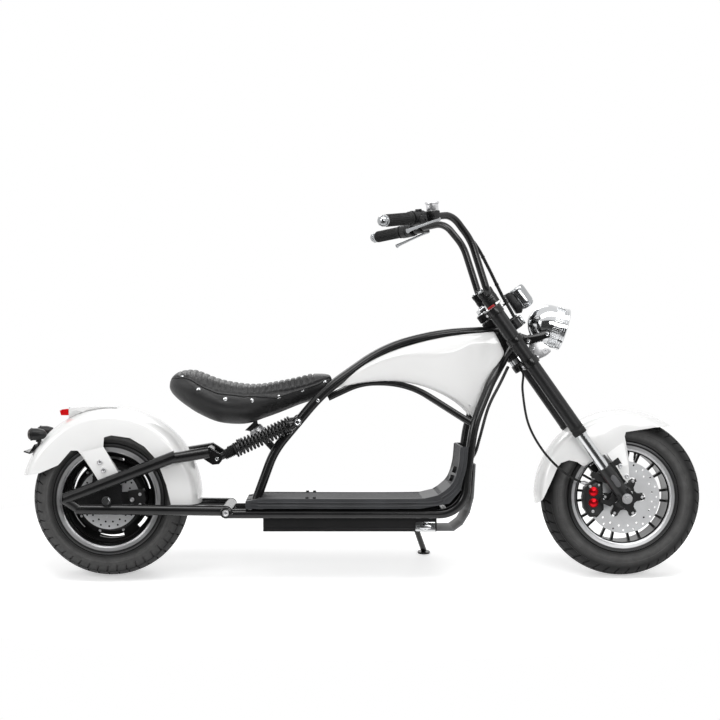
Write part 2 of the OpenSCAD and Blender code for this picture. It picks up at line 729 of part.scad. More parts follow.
// Profile of a fender as radius and width, round on top and straight at the sides
function fender_section(outer_r, half, inner_r, crown) = concat(
  [[inner_r, -half]],
  [for (k = [-6:6]) [outer_r - crown + crown * cos(15 * k), half * sin(15 * k)]],
  [[inner_r, half], [inner_r, half - shell_t]],
  [for (k = [6:-1:-6])
    [outer_r - shell_t - crown + crown * cos(15 * k), (half - shell_t) * sin(15 * k)]],
  [[inner_r, -half + shell_t]]
);
module rear_fender() {
  color("#f4f4f2") parked() translate([0, 0, rear_h]) {
    intersection() {
      about_axle() polygon(fender_section(rear_fender_r, rear_fender_half, 60, 34));
      slab(-200, 200)
        polygon([[-290, 66], [-290, 300], [290, 300], [320, -15], [190, -15], [176, 44], [147, 120],
                 [110, 160], [66, 186], [10, 194], [-12, 188], [-14, 160], [30, 92], [-30, 62], [-84, 140],
                 [-92, 148], [-112, 148], [-150, 104], [-206, 80]]);
    }
    // Flat-topped pod that carries the tail light
    intersection() {
      slab(-48, 48) polygon([[-128, 236], [-128, 274], [-60, 279], [20, 277], [20, 250]]);
      difference() {
        cross_rod(0, 0, -60, 60, rear_fender_r + 40);
        cross_rod(0, 0, -61, 61, rear_fender_r - 2);
      }
    }
  }
}
module tail_light() {
  color("#b01218") parked() translate([0, 0, rear_h])
    slab(-44, 44)
      polygon([[-128 - seat_gap, 252], [-128 - seat_gap, 272], [-148, 270], [-156, 266], [-152, 252]]);
}
// Bullet lamp body along X with its tail at the origin
module bullet() {
  rotate([0, 90, 0]) rotate_extrude()
    polygon([[0, 0], [12, 0], [16, 4], [18, 14], [18, 34], [15, 46], [9, 54], [0, 57]]);
}
indicator_at = [-246, 88, 436];
// Room taken by the rear fender, from its outer skin inwards
module rear_fender_space() {
  translate([0, 0, rear_h])
    about_axle() polygon(concat([[60, -rear_fender_half - seat_gap]], [for (k = [-6:6])
      [rear_fender_r - 34 + (34 + seat_gap) * cos(15 * k), (rear_fender_half + seat_gap) * sin(15 * k)]],
      [[60, rear_fender_half + seat_gap]]));
}
module rear_indicators() {
  color("#101112") parked() both_sides() {
    translate(indicator_at) bullet();
    difference() {
      translate(indicator_at + [32, -6, -60]) cylinder(r = 5, h = 56);
      rear_fender_space();
    }
  }
}
module plate_bracket() {
  // Two places on the fender's skin, where the bracket's foot lies
  foot = [for (x = [-226, -243]) [x, rear_h + sqrt(pow(rear_fender_r + 1, 2) - x * x)]];
  // Ways along the flat that the plate is bolted to, and out of it
  slope = 17.5;
  along = [-cos(slope), sin(slope)];
  out = [sin(slope), cos(slope)];
  hole = foot[1] + 12 * along - cut * out;
  color("#17181a") parked() difference() {
    slab(-70, 70)
      polygon([foot[0], foot[1], foot[1] + 20 * along, foot[1] + 20 * along + bracket_t * out,
               foot[1] + 3 * along + bracket_t * out, foot[0] + [-4, 2]]);
    for (y = [-plate_hole_y, plate_hole_y])
      translate([hole[0], y, hole[1]]) rotate([0, slope, 0])
        cylinder(r = plate_hole_r, h = bracket_t + 2 * cut);
  }
}
module rear_axle() {
  color("#c9ccd0") parked() translate([0, 0, rear_h]) {
    cross_rod(0, 0, -arm_y - 30, arm_y + 30, axle_r);
    both_sides() {
      cross_rod(0, 0, motor_half + 8, arm_y - 5 - seat_gap, 10.5);
      cross_rod(0, 0, arm_y + 5 + seat_gap, arm_y + 17, 10.5);
    }
  }
}
module rear_caliper() {
  y = rear_disc_y;
  color("#151617") parked() translate([0, 0, rear_h]) difference() {
    union() {
      slab(-y - disc_t - 26, -y + 14)
        polygon([[60, -22], [104, -30], [114, 0], [104, 32], [60, 26]]);
      slab(-y - disc_t - 14, -y - disc_t - 8)
        polygon([[-20, -14], [-14, 18], [70, 24], [70, -20], [0, -24]]);
    }
    cross_rod(0, 0, -y - disc_t - pad_gap, -y + pad_gap, rear_disc_r + 5);
    cross_rod(0, 0, -y - 40, -y + 10, 14 + seat_gap);
  }
}
module frame_loom() {
  color("#101112") parked()
    swept_cable(smooth([[down_x + 108, -58, 640], [down_x + 82, -86, 592], [down_x + 44, -108, 520],
      [down_x + 17.4, -118, 431], [down_x + 6, -98, 384], [down_x - 12, -86, 346],
      [down_x - 20, -84, 300]], 4), 6, 8);
}

// Steering

module fork_clamps() {
  color("#1c1d1f") parked() fork_frame() difference() {
    union() {
      for (w = [low_clamp_w, top_clamp_w])
        translate([0, 0, w]) linear_extrude(height = clamp_t)
          offset(r = 8, $fn = 24) offset(delta = -8) union() {
            square([56, 2 * fork_y + 52], center = true);
            translate([-fork_offset, 0]) circle(r = head_r + 1, $fn = 48);
          }
      translate([-fork_offset, 0, low_clamp_w]) cylinder(r = stem_r, h = top_clamp_w - low_clamp_w + clamp_t);
    }
    both_sides() translate([0, fork_y, low_clamp_w - cut])
      cylinder(r = fork_outer_r + seat_gap, h = top_clamp_w - low_clamp_w + clamp_t + 2 * cut);
  }
}
// Polished nuts above and below the steering head
module head_bearings() {
  color("#c9ccd0") parked() fork_frame() translate([-fork_offset, 0, 0])
    for (span = [[low_clamp_w + clamp_t + seat_gap, head_low_w - 0.5],
                 [head_high_w + 0.5, top_clamp_w - seat_gap]])
      translate([0, 0, span[0]]) difference() {
        cylinder(r = head_r - 2, h = span[1] - span[0]);
        translate([0, 0, -cut]) cylinder(r = stem_r + seat_gap, h = span[1] - span[0] + 2 * cut);
      }
}
riser_w = top_clamp_w + clamp_t + seat_gap;
bar_base = [10, riser_w + riser_h - 14];
module risers() {
  color("#1b1c1e") parked() fork_frame() both_sides() difference() {
    translate([-14, fork_y - 15, riser_w]) cube([46, 28, riser_h]);
    cross_rod(bar_base[0], bar_base[1], fork_y - 20, fork_y + 20, bar_r + seat_gap);
  }
}
// Bars in the fork's own frame: base, upright, top corner and end
bar_end = [-142, 360, riser_w + 395.7];
bar_corner = [55, 163, riser_w + 298.7];
bar_path = [bar_end, bar_corner, [60, 140, riser_w + 203.7], [bar_base[0], 140, bar_base[1]]];
module handlebar() {
  mirrored = [for (i = [3:-1:0]) [bar_path[i][0], -bar_path[i][1], bar_path[i][2]]];
  color("#1a1b1d") parked() fork_frame()
    bent_tube(concat(bar_path, mirrored), [60, 140, 22, 22, 140, 60], bar_r);
}
// Local frame at the left end of the bar: x forward of it, y up, z inward along it
module on_bar() {
  along = unit(bar_corner - bar_end);
  up = unit([sin(rake_deg), 0, cos(rake_deg)] - along * ([sin(rake_deg), 0, cos(rake_deg)] * along));
  turned(cross(up, along), up, bar_end) children();
}
grip_len = 122;
module grips() {
  color("#161617") parked() fork_frame() both_sides() on_bar() difference() {
    union() {
      translate([0, 0, -4]) cylinder(r = grip_r, h = grip_len);
      translate([0, 0, grip_len - 10]) cylinder(r = grip_r + 3, h = 6);
    }
    cylinder(r = bar_r + seat_gap, h = grip_len + cut);
  }
}
module bar_controls() {
  color("#151617") parked() fork_frame() both_sides() on_bar() difference() {
    union() {
      translate([0, 0, grip_len]) cylinder(r = 22, h = 46);
      translate([0, 0, 176]) cylinder(r = 17, h = 28);
      translate([4, -13, 176]) cube([36, 30, 28]);
    }
    translate([0, 0, grip_len - cut]) cylinder(r = bar_r + seat_gap, h = 90);
    translate([30, 10, 190]) rotate([90, 0, 0]) cylinder(r = 4, h = 30);
  }
}
module master_cylinders() {
  color("#c9ccd0") parked() fork_frame() both_sides() on_bar() {
    translate([20, 17 + seat_gap, 192]) rotate([-90, 0, 0]) cylinder(r = 18, h = 22);
    translate([20, 35, 192]) rotate([-90, 0, 0]) cylinder(r = 21, h = 7);
  }
}
module levers() {
  color("#d0d2d5") parked() fork_frame() both_sides() on_bar()
    bent_tube([[45.3, -8, 200], [47, -14, 160], [42, -34, 60]], [60], 5);
}
outer_low = 262;
module fork_outers() {
  color("#1b1c1e") parked() fork_frame() both_sides() translate([0, fork_y, 0]) {
    translate([0, 0, outer_low]) cylinder(r = fork_outer_r, h = top_clamp_w + clamp_t - outer_low);
    translate([0, 0, outer_low - 24]) difference() {
      cylinder(r = fork_outer_r - 1, h = 26);
      translate([0, 0, -cut]) cylinder(r = slider_r + seat_gap, h = 24 + cut);
    }
  }
}
lower_top = 112;
module fork_sliders() {
  color("#d8dadd") parked() fork_frame() both_sides()
    translate([0, fork_y, lower_top + seat_gap]) cylinder(r = slider_r, h = outer_low - lower_top - 2 * seat_gap);
}
module fork_lowers() {
  color("#1b1c1e") parked() fork_frame() {
    both_sides() difference() {
      union() {
        translate([0, fork_y, -10]) cylinder(r = fork_outer_r, h = lower_top + 10);
        slab(fork_y - 18, fork_y + 18) polygon([[-22, -24], [22, -24], [22, 24], [-22, 24]]);
      }
      cross_rod(0, 0, fork_y - 40, fork_y + 40, axle_r + seat_gap);
    }
    // Lugs that the fender is bolted to
    both_sides() {
      slab(fork_y - 14, fork_y - 6) polygon([[10, 34], [48, 46], [52, 112], [10, 112]]);
      for (w = [54, 102]) cross_rod(41, w, front_fender_half + seat_gap, fork_y - 6, 8);
    }
    // Arms that hold the brake caliper on the rider's right
    slab(-fork_y + 4, -front_disc_y - disc_t - 16 - seat_gap)
      polygon([[-10, 90], [-36, 122], [-48, 114], [-42, 96], [-16, 60], [-10, 40], [-46, 22], [-60, 40],
               [-70, 32], [-52, 4], [-8, 10]]);
  }
}
module front_axle() {
  color("#c9ccd0") parked() translate([wheelbase, 0, front_h]) {
    cross_rod(0, 0, -fork_y - 34, fork_y + 34, axle_r);
    both_sides() {
      cross_rod(0, 0, hub_half + 5, fork_y - fork_outer_r - seat_gap, 12);
      cross_rod(0, 0, fork_y + fork_outer_r + seat_gap, fork_y + fork_outer_r + 9, 13);
    }
  }
}
module front_fender() {
  color("#f4f4f2") parked() fork_frame()
    intersection() {
      about_axle() polygon(fender_section(front_fender_r, front_fender_half, 40, 26));
      slab(-120, 120)
        polygon([[-250, 128], [-250, 280], [250, 280], [250, 88], [202, 118], [118, 159], [108, 151], [81, 92],
                 [46, 34], [34, 34], [26, 140], [-16, 144], [-47, 146], [-55, 169], [-72, 188], [-97, 195],
                 [-115, 189], [-172, 155], [-206, 135]]);
    }
}
module front_calipers() {
  y = front_disc_y;
  color("#151617") parked() translate([wheelbase, 0, front_h]) difference() {
    slab(-y - disc_t - 16, -y + 16)
      polygon([[-62, -36], [-66, 46], [-90, 52], [-120, 30], [-126, 0], [-122, -34], [-104, -60], [-80, -58]]);
    cross_rod(0, 0, -y - disc_t - pad_gap, -y + pad_gap, front_disc_r + 5);
  }
}
module caliper_caps() {
  color("#c01820") parked() translate([wheelbase, 0, front_h])
    for (z = [-16, 18])
      cross_rod(-94, z, -front_disc_y - disc_t - 21, -front_disc_y - disc_t - 16 - seat_gap, 14);
}
module brake_hose() {
  color("#101112") parked() fork_frame()
    swept_cable(smooth([[-32.6, -60, 512], [-33, -60, 496], [-36, -60, 478], [-66, -66, 440], [-110, -84, 351],
      [-122, -100, 261], [-110, -100, 178], [-86, -82, 122], [-66, -72, 96.9]], 5), 4, 8);
}
module bar_loom() {
  color("#101112") parked() fork_frame()
    swept_cable(smooth([[57, -136.3, 960], [80, -100, 890], [80, -62, 800], [67, -32, 735], [66, -26, 690],
      [66, -26, 650]], 5), 5, 8);
}
module speedometer() {
  color("#d8dadd") parked() fork_frame() translate([92, 0, top_clamp_w - 40]) cylinder(r = speedo_r, h = 76);
}
lamp_centre = [151.5, low_clamp_w + 26.5];
module on_lamp() {
  fork_frame() translate([lamp_centre[0], 0, lamp_centre[1]]) rotate([0, 142, 0]) children();
}
module headlight_shell() {
  color("#d8dadd") parked() on_lamp() rotate_extrude() {
    polygon(concat(
      [for (i = [0:8]) let (t = i / 8) [lamp_r * 0.94 * pow(t, 0.5), -lamp_depth + (lamp_depth - 14) * t]],
      [[lamp_r - 2, -14], [lamp_r, -10], [lamp_r, -2], [lamp_r - 4, 0], [lamp_r - 6, 0]],
      [for (i = [8:-1:0]) let (t = i / 8)
        [(lamp_r - 6) * pow(t, 0.5), -lamp_depth + 5 + (lamp_depth - 14) * t]]
    ));
  }
}
module headlight_lens() {
  color("#e8eef2") parked() on_lamp() translate([0, 0, -8]) cylinder(r = lamp_r - 6 - seat_gap, h = 7);
}
// Lowest height of the headlight's collars on the fork legs, and of the horn
collar_w = low_clamp_w + 85;
horn_w = top_clamp_w - 76;
horn_h = 34;
module headlight_mount() {
  ear_y = lamp_r + seat_gap;
  strap_w = horn_w + horn_h + seat_gap;
  color("#1b1c1e") parked() fork_frame() {
    both_sides() {
      difference() {
        union() {
          translate([0, fork_y, collar_w]) cylinder(r = fork_outer_r + 5, h = 18);
          translate([8, ear_y, collar_w]) cube([14, fork_y - ear_y, 18]);
        }
        translate([0, fork_y, collar_w - 4]) cylinder(r = fork_outer_r + seat_gap, h = 30);
      }
      difference() {
        slab(ear_y, ear_y + 5)
          translate([0, collar_w])
            polygon([[8, 18], [8, 0], [60, -29], [132, -66], [150, -58], [146, -42], [70, -2], [22, 18]]);
        // Lightening holes in the ears
        for (p = [[52, -10], [84, -26]])
          cross_rod(p[0], collar_w + p[1], ear_y - cut, ear_y + 5 + cut, 7);
      }
    }
    // Shelf that holds the speedometer, with a strap down to the horn
    translate([28 + seat_gap, -14, top_clamp_w + 6])
      cube([92 - speedo_r - 28 - 2 * seat_gap, 28, 6]);
    slab(-5, 5)
      polygon([[29, top_clamp_w + 8], [29, strap_w], [58, strap_w], [58, strap_w + 4], [34, strap_w + 4],
               [34, top_clamp_w + 8]]);
  }
}
module horn() {
  color("#c9ccd0") parked() fork_frame() translate([45, 0, horn_w]) cylinder(r = 20, h = horn_h);
}

// Side stand

stand_pivot = [930, 142, 158];
foot_x = 974;
foot_pad = [foot_x, foot_y, foot_y * tan(lean_deg)];
stand_way = unit(foot_pad + [0, 0, 8] - stand_pivot);
stand_axis = unit(cross(stand_way, [-1, 0, 0]));
// Puts z along the pivot pin, with y up along the bracket
module on_stand_pivot() {
  turned([1, 0, 0], unit(cross(stand_axis, [1, 0, 0])), stand_pivot) children();
}
module stand_bracket() {
  on_stand_pivot() {
    translate([-22, -52, -9]) cube([44, 66, 6]);
    translate([0, 0, -6]) cylinder(r = stand_pin_r, h = 20);
    translate([0, 0, 8.3]) cylinder(r = 9, h = 5.7);
  }
}
module side_stand() {
  color("#1b1c1e") parked() {
    difference() {
      union() {
        on_stand_pivot() translate([0, 0, -2.7]) cylinder(r = 15, h = 10.7);
        rod(stand_pivot + stand_way * 11 + stand_axis * (stand_r - 0.7), foot_pad + [0, -2, 9], stand_r);
      }
      on_stand_pivot() translate([0, 0, -8]) cylinder(r = stand_pin_r + run_gap, h = 30);
    }
    translate(foot_pad) rotate([lean_deg, 0, 0]) cylinder(r = 20, h = 6);
  }
}

neck();
spine_tubes();
tank_rails();
cradle_tubes();
crossmembers();
tank_covers();
deck_cover();
battery_box();
battery_latch();
front_guard();
deck_caps();
seat();
seat_hinge();
seat_damper();
swingarm();
shock_bodies();
shock_springs();
rear_fender();
tail_light();
rear_indicators();
plate_bracket();
rear_axle();
rear_caliper();
frame_loom();
rear_tyre();
rear_rim();
rear_rim_lips();
rear_disc();
fork_clamps();
head_bearings();
risers();
handlebar();
grips();
bar_controls();
master_cylinders();
levers();
fork_outers();
fork_sliders();
fork_lowers();
front_axle();
front_fender();
front_calipers();
caliper_caps();
brake_hose();
bar_loom();
speedometer();
headlight_shell();
headlight_lens();
headlight_mount();
horn();
front_tyre();
front_rim();
front_rim_lips();
front_disc();
side_stand();
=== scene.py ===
import bpy
import bmesh
import math
from mathutils import Matrix, Vector, geometry
from mathutils.bvhtree import BVHTree


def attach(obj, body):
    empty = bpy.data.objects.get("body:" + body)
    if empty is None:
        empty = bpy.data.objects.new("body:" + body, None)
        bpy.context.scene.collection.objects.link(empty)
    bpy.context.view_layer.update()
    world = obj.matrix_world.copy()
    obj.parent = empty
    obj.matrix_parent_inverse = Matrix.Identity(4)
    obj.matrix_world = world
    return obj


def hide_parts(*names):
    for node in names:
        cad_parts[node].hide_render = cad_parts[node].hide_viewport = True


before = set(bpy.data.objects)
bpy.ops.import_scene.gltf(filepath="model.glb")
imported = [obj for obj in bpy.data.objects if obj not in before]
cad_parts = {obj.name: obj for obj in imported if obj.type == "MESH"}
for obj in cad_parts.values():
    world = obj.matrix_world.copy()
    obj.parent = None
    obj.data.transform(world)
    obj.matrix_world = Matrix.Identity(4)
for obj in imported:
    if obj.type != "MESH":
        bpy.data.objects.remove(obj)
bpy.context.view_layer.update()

# Stance: the scooter leans 8 degrees to its left on the side stand. Every new piece is drawn upright in
# millimetres, with the rear axle's plane over zero, and parked() puts its mesh where the frame stands.
LEAN = math.radians(8)
RAKE = math.radians(35)
WHEELBASE = 1562.0
MIDDLE = (768.7, 147.9)
REAR_H = 238.5 - 150 + 150 / math.cos(LEAN)
FRONT_H = 243.5 - 72 + 72 / math.cos(LEAN)
MM = Matrix.Scale(0.001, 4)
PARKED = Matrix.Translation((-MIDDLE[0] / 1000, -MIDDLE[1] / 1000, 0)) @ Matrix.Rotation(-LEAN, 4, "X") @ MM
FORK = Matrix.Translation((WHEELBASE, 0, FRONT_H)) @ Matrix.Rotation(-RAKE, 4, "Y")
REAR_WHEEL = Matrix.Translation((0, 0, REAR_H))
FRONT_WHEEL = Matrix.Translation((WHEELBASE, 0, FRONT_H))


def finish_piece(name, mesh, place, body, material, smooth=40):
    """Makes an object of a mesh drawn in millimetres, in the frame given by place, on a body."""
    mesh.transform(PARKED @ place)
    mesh.name = name
    mesh.materials.clear()
    for m in material if isinstance(material, (list, tuple)) else [material]:
        mesh.materials.append(m)
    if smooth:
        mesh.polygons.foreach_set("use_smooth", [True] * len(mesh.polygons))
        mesh.set_sharp_from_angle(angle=math.radians(smooth))
    obj = bpy.data.objects.new(name, mesh)
    bpy.context.scene.collection.objects.link(obj)
    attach(obj, body)
    return obj


# Camera and studio: a level view square to the scooter's right side, as the photograph has it, over a pale
# floor. Soft boxes stand above, in front and behind, and white shows wherever the camera or a gloss looks out.
VIEW_D = 5400.0
VIEW_AT = (639.1, 676.1)
MM_PER_PX = 3.08
camera_data = bpy.data.cameras.new("camera")
camera_data.sensor_width = 36
camera_data.lens = 36 * VIEW_D / (720 * MM_PER_PX)
camera_data.shift_x = 40 / 720
camera_data.shift_y = -5 / 720
camera_data.clip_end = 60
camera = bpy.data.objects.new("camera", camera_data)
bpy.context.scene.collection.objects.link(camera)
camera.matrix_world = (Matrix.Translation((-MIDDLE[0] / 1000, -MIDDLE[1] / 1000, 0)) @ Matrix.Rotation(-LEAN, 4, "X")
                       @ Matrix.Translation((VIEW_AT[0] / 1000, -VIEW_D / 1000, VIEW_AT[1] / 1000))
                       @ Matrix.Rotation(math.radians(90), 4, "X"))
bpy.context.scene.camera = camera
bpy.context.scene.view_settings.view_transform = "Standard"


class Sock:
    """A node's output that can be used in sums. Numbers, and one value each, go through Math nodes."""

    def __init__(self, paint, link):
        self.paint = paint
        self.link = link

    def _maths(self, operation, a, b=None):
        values = {0: a} if b is None else {0: a, 1: b}
        return self.paint.node("ShaderNodeMath", {"operation": operation}, values)

    def __add__(self, o): return self._maths("ADD", self, o)
    def __radd__(self, o): return self._maths("ADD", o, self)
    def __sub__(self, o): return self._maths("SUBTRACT", self, o)
    def __rsub__(self, o): return self._maths("SUBTRACT", o, self)
    def __mul__(self, o): return self._maths("MULTIPLY", self, o)
    def __rmul__(self, o): return self._maths("MULTIPLY", o, self)
    def __truediv__(self, o): return self._maths("DIVIDE", self, o)
    def __rtruediv__(self, o): return self._maths("DIVIDE", o, self)
    def __pow__(self, o): return self._maths("POWER", self, o)
    def __gt__(self, o): return self._maths("GREATER_THAN", self, o)
    def __lt__(self, o): return self._maths("LESS_THAN", self, o)


class Paint:
    """A material's node tree, with one method that adds any node."""

    def __init__(self, name, **constants):
        self.material = bpy.data.materials.new(name)
        self.material.use_nodes = True
        self.tree = self.material.node_tree
        self.shader = self.tree.nodes["Principled BSDF"]
        for key, value in constants.items():
            self.shader.inputs[key.replace("_", " ")].default_value = value

    def node(self, kind, settings=None, values=None, out=0):
        n = self.tree.nodes.new(kind)
        for key, value in (settings or {}).items():
            if key == "stops":
                ramp = n.color_ramp
                while len(ramp.elements) < len(value):
                    ramp.elements.new(0.5)
                for element, (at, colour) in zip(ramp.elements, value):
                    element.position = at
                    element.color = (*colour, 1) if hasattr(colour, "__len__") else (colour, colour, colour, 1)
            else:
                setattr(n, key, value)
        for key, value in (values or {}).items():
            if isinstance(value, Sock):
                self.tree.links.new(value.link, n.inputs[key])
            else:
                n.inputs[key].default_value = value
        return Sock(self, n.outputs[out])

    def place(self, centre=(0, 0, 0), turn=(0, 0, 0), scale=(1, 1, 1)):
        """Object coordinates moved to a centre, in metres, then turned and scaled."""
        coords = self.node("ShaderNodeTexCoord", out=3)
        moved = self.node("ShaderNodeVectorMath", {"operation": "SUBTRACT"}, {0: coords, 1: centre})
        return self.node("ShaderNodeMapping", None, {0: moved, 2: turn, 3: scale})

    def noise(self, vector, scale, detail=3.0, roughness=0.5):
        return self.node("ShaderNodeTexNoise", None,
                         {"Vector": vector, "Scale": scale, "Detail": detail, "Roughness": roughness})

    def ramp(self, value, *stops):
        return self.node("ShaderNodeValToRGB", {"stops": stops}, {0: value})

    def blend(self, share, a, b):
        return self.node("ShaderNodeMix", {"data_type": "RGBA"}, {0: share, 6: a, 7: b}, out=2)

    def to(self, key, value):
        self.tree.links.new(value.link, self.shader.inputs[key])

    def bump(self, height, distance, strength=1.0):
        self.to("Normal", self.node("ShaderNodeBump", None,
                                    {"Height": height, "Distance": distance, "Strength": strength}))


def floor_white(centre, near, far):
    """Floor that is white to the camera, to gloss and through glass, and keeps a shadow round the centre."""
    paint = Paint("studio_floor", Roughness=0.9, Base_Color=(0.85, 0.85, 0.85, 1))
    n = paint.node("ShaderNodeLightPath").link.node
    seen = Sock(paint, n.outputs["Is Camera Ray"]) + Sock(paint, n.outputs["Is Glossy Ray"])
    seen = seen + Sock(paint, n.outputs["Is Transmission Ray"])
    seen = paint.node("ShaderNodeMath", {"operation": "MINIMUM"}, {0: seen, 1: 1.0})
    spot = paint.place(centre, scale=(0.62, 1, 1))
    away = paint.node("ShaderNodeVectorMath", {"operation": "LENGTH"}, {0: spot}, out=1)
    plain = paint.ramp(away * 0.5, (near * 0.5, 0.0), (far * 0.5, 1.0))
    matt = Sock(paint, paint.shader.outputs[0])
    glow = paint.node("ShaderNodeEmission", None, {"Color": (1, 1, 1, 1), "Strength": 0.48})
    white = paint.node("ShaderNodeEmission", None, {"Color": (1, 1, 1, 1), "Strength": 1.0})
    both = paint.node("ShaderNodeAddShader", None, {0: matt, 1: glow})
    shown = paint.node("ShaderNodeMixShader", None, {0: plain, 1: both, 2: white})
    mixed = paint.node("ShaderNodeMixShader", None, {0: seen, 1: matt, 2: shown})
    paint.tree.links.new(mixed.link, paint.tree.nodes["Material Output"].inputs[0])
    return paint.material


floor_mesh = bpy.data.meshes.new("studio_floor")
floor_mesh.from_pydata([(-14, -14, 0), (14, -14, 0), (14, 14, 0), (-14, 14, 0)], [], [(0, 1, 2, 3)])
floor_mesh.materials.append(floor_white((0, 0.05, 0), 0.75, 1.05))
floor = bpy.data.objects.new("studio_floor", floor_mesh)
bpy.context.scene.collection.objects.link(floor)

# A dark card lies in front of the camera and rises behind it, as in a studio, so that plate and black paint
# show dark bands on the side that the photograph was taken from. Only reflections see it.
card_mesh = bpy.data.meshes.new("studio_card")
card_mesh.from_pydata([(-6, -1.3, 0.004), (6, -1.3, 0.004), (6, -6.4, 0.004), (-6, -6.4, 0.004), (6, -6.4, 5.2),
                       (-6, -6.4, 5.2)], [], [(0, 1, 2, 3), (3, 2, 4, 5)])
card_mesh.materials.append(Paint("studio_card", Roughness=0.9, Base_Color=(0.1, 0.1, 0.1, 1)).material)
card = bpy.data.objects.new("studio_card", card_mesh)
bpy.context.scene.collection.objects.link(card)
card.visible_camera = card.visible_diffuse = card.visible_shadow = card.visible_transmission = False

world = bpy.data.worlds.new("studio")
bpy.context.scene.world = world
world.use_nodes = True
wt = world.node_tree
rays = wt.nodes.new("ShaderNodeLightPath")
seen_1 = wt.nodes.new("ShaderNodeMath")
seen_1.operation = "MAXIMUM"
seen_2 = wt.nodes.new("ShaderNodeMath")
seen_2.operation = "MAXIMUM"
wt.links.new(rays.outputs["Is Camera Ray"], seen_1.inputs[0])
wt.links.new(rays.outputs["Is Glossy Ray"], seen_1.inputs[1])
wt.links.new(seen_1.outputs[0], seen_2.inputs[0])
wt.links.new(rays.outputs["Is Transmission Ray"], seen_2.inputs[1])
level = wt.nodes.new("ShaderNodeMapRange")
level.inputs["To Min"].default_value = 0.4
level.inputs["To Max"].default_value = 1.0
wt.links.new(seen_2.outputs[0], level.inputs["Value"])
wt.links.new(level.outputs[0], wt.nodes["Background"].inputs["Strength"])
wt.nodes["Background"].inputs["Color"].default_value = (1, 1, 1, 1)

# Soft boxes: name, place, what they look at, width, length, power
for name, at, target, wide, long, power in (
        ("box_above", (0.2, -0.9, 3.2), (0, 0.1, 0.5), 1.2, 3.6, 62),
        ("box_right", (1.6, -3.6, 2.2), (0.1, 0.1, 0.5), 1.0, 2.2, 42),
        ("box_rear", (-2.8, -1.8, 1.9), (0, 0.1, 0.5), 0.9, 1.8, 24),
        ("box_left", (-0.4, 3.2, 2.6), (0, 0.1, 0.5), 1.6, 2.6, 38)):
    lamp = bpy.data.lights.new(name, "AREA")
    lamp.shape = "RECTANGLE"
    lamp.size = long
    lamp.size_y = wide
    lamp.energy = power
    holder = bpy.data.objects.new(name, lamp)
    bpy.context.scene.collection.objects.link(holder)
    holder.location = at
    holder.rotation_euler = (Vector(target) - Vector(at)).to_track_quat("-Z", "Y").to_euler()

# Frame tubes, clamps and brackets: steel, shot-blasted and sprayed gloss black. The spray leaves a faint
# orange peel, and patches of it carry a little dust.


def black_paint(name, base=0.006, rough=0.16, dust=0.008):
    paint = Paint(name, Specular_IOR_Level=0.34, Coat_Weight=0.15, Coat_Roughness=0.06)
    spot = paint.place()
    cloud = paint.noise(spot, 9.0, 4.0)
    fine = paint.noise(spot, 420.0, 2.0)
    paint.to("Base Color", paint.ramp(cloud, (0.35, (base, base, base * 1.05)),
                                      (0.75, (base + dust, base + dust, base + dust * 1.02))))
    paint.to("Roughness", rough + cloud * 0.1)
    paint.bump(fine + cloud, 0.0004, 0.35)
    return paint.material


gloss_black = black_paint("gloss_black_paint")
cast_black = black_paint("satin_black_casting", 0.009, 0.34, 0.01)


def finish_nodes(material, *names):
    for name in names:
        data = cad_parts[name].data
        data.materials.clear()
        data.materials.append(material)


finish_nodes(gloss_black, "neck", "spine_tubes", "tank_rails", "cradle_tubes", "crossmembers", "swingarm",
             "fork_clamps", "risers", "handlebar", "headlight_mount", "side_stand", "plate_bracket")
finish_nodes(cast_black, "rear_rim", "front_rim", "rear_caliper", "front_calipers", "fork_lowers")

# Helpers for turned and extruded pieces, first used on the frame's bolts: a lathe profile is a list of
# (radius, height) pairs turned about Z, and an outline is a list of (x, z) pairs between two values of Y.


def lathe(profile, sides=48, closed=True):
    bm = bmesh.new()
    rings = []
    for r, z in profile:
        if r < 1e-6:
            rings.append([bm.verts.new((0, 0, z))])
        else:
            rings.append([bm.verts.new((r * math.cos(2 * math.pi * k / sides), r * math.sin(2 * math.pi * k / sides), z))
                          for k in range(sides)])
    pairs = list(zip(rings, rings[1:])) + ([(rings[-1], rings[0])] if closed and len(rings[0]) > 1
                                            and len(rings[-1]) > 1 else [])
    for low, high in pairs:
        for k in range(sides):
            n = (k + 1) % sides
            corners = [low[k % len(low)], low[n % len(low)], high[n % len(high)], high[k % len(high)]]
            unique = []
            for c in corners:
                if c not in unique:
                    unique.append(c)
            if len(unique) > 2:
                bm.faces.new(unique)
    return to_mesh(bm)


def to_mesh(bm, merge=0.0005):
    bmesh.ops.remove_doubles(bm, verts=bm.verts, dist=merge)
    bmesh.ops.recalc_face_normals(bm, faces=bm.faces)
    mesh = bpy.data.meshes.new("piece")
    bm.to_mesh(mesh)
    bm.free()
    return mesh


def plate(outline, y0, y1, bevel=0.0):
    """Flat piece from a side-view outline, with its edges broken by a small bevel."""
    bm = bmesh.new()
    face = bm.faces.new([bm.verts.new((x, y0, z)) for x, z in outline])
    made = bmesh.ops.extrude_face_region(bm, geom=[face])
    bmesh.ops.translate(bm, verts=[v for v in made["geom"] if isinstance(v, bmesh.types.BMVert)], vec=(0, y1 - y0, 0))
    if bevel:
        bmesh.ops.bevel(bm, geom=list(bm.edges), offset=bevel, segments=2, profile=0.6, affect="EDGES")
    return to_mesh(bm)


def join(*meshes):
    bm = bmesh.new()
    for m in meshes:
        bm.from_mesh(m)
        bpy.data.meshes.remove(m)
    mesh = bpy.data.meshes.new("piece")
    bm.to_mesh(mesh)
    bm.free()
    return mesh


def moved(mesh, *steps):
    m = Matrix.Identity(4)
    for s in steps:
        m = m @ s
    mesh.transform(m)
    if m.determinant() < 0:
        mesh.flip_normals()
    return mesh


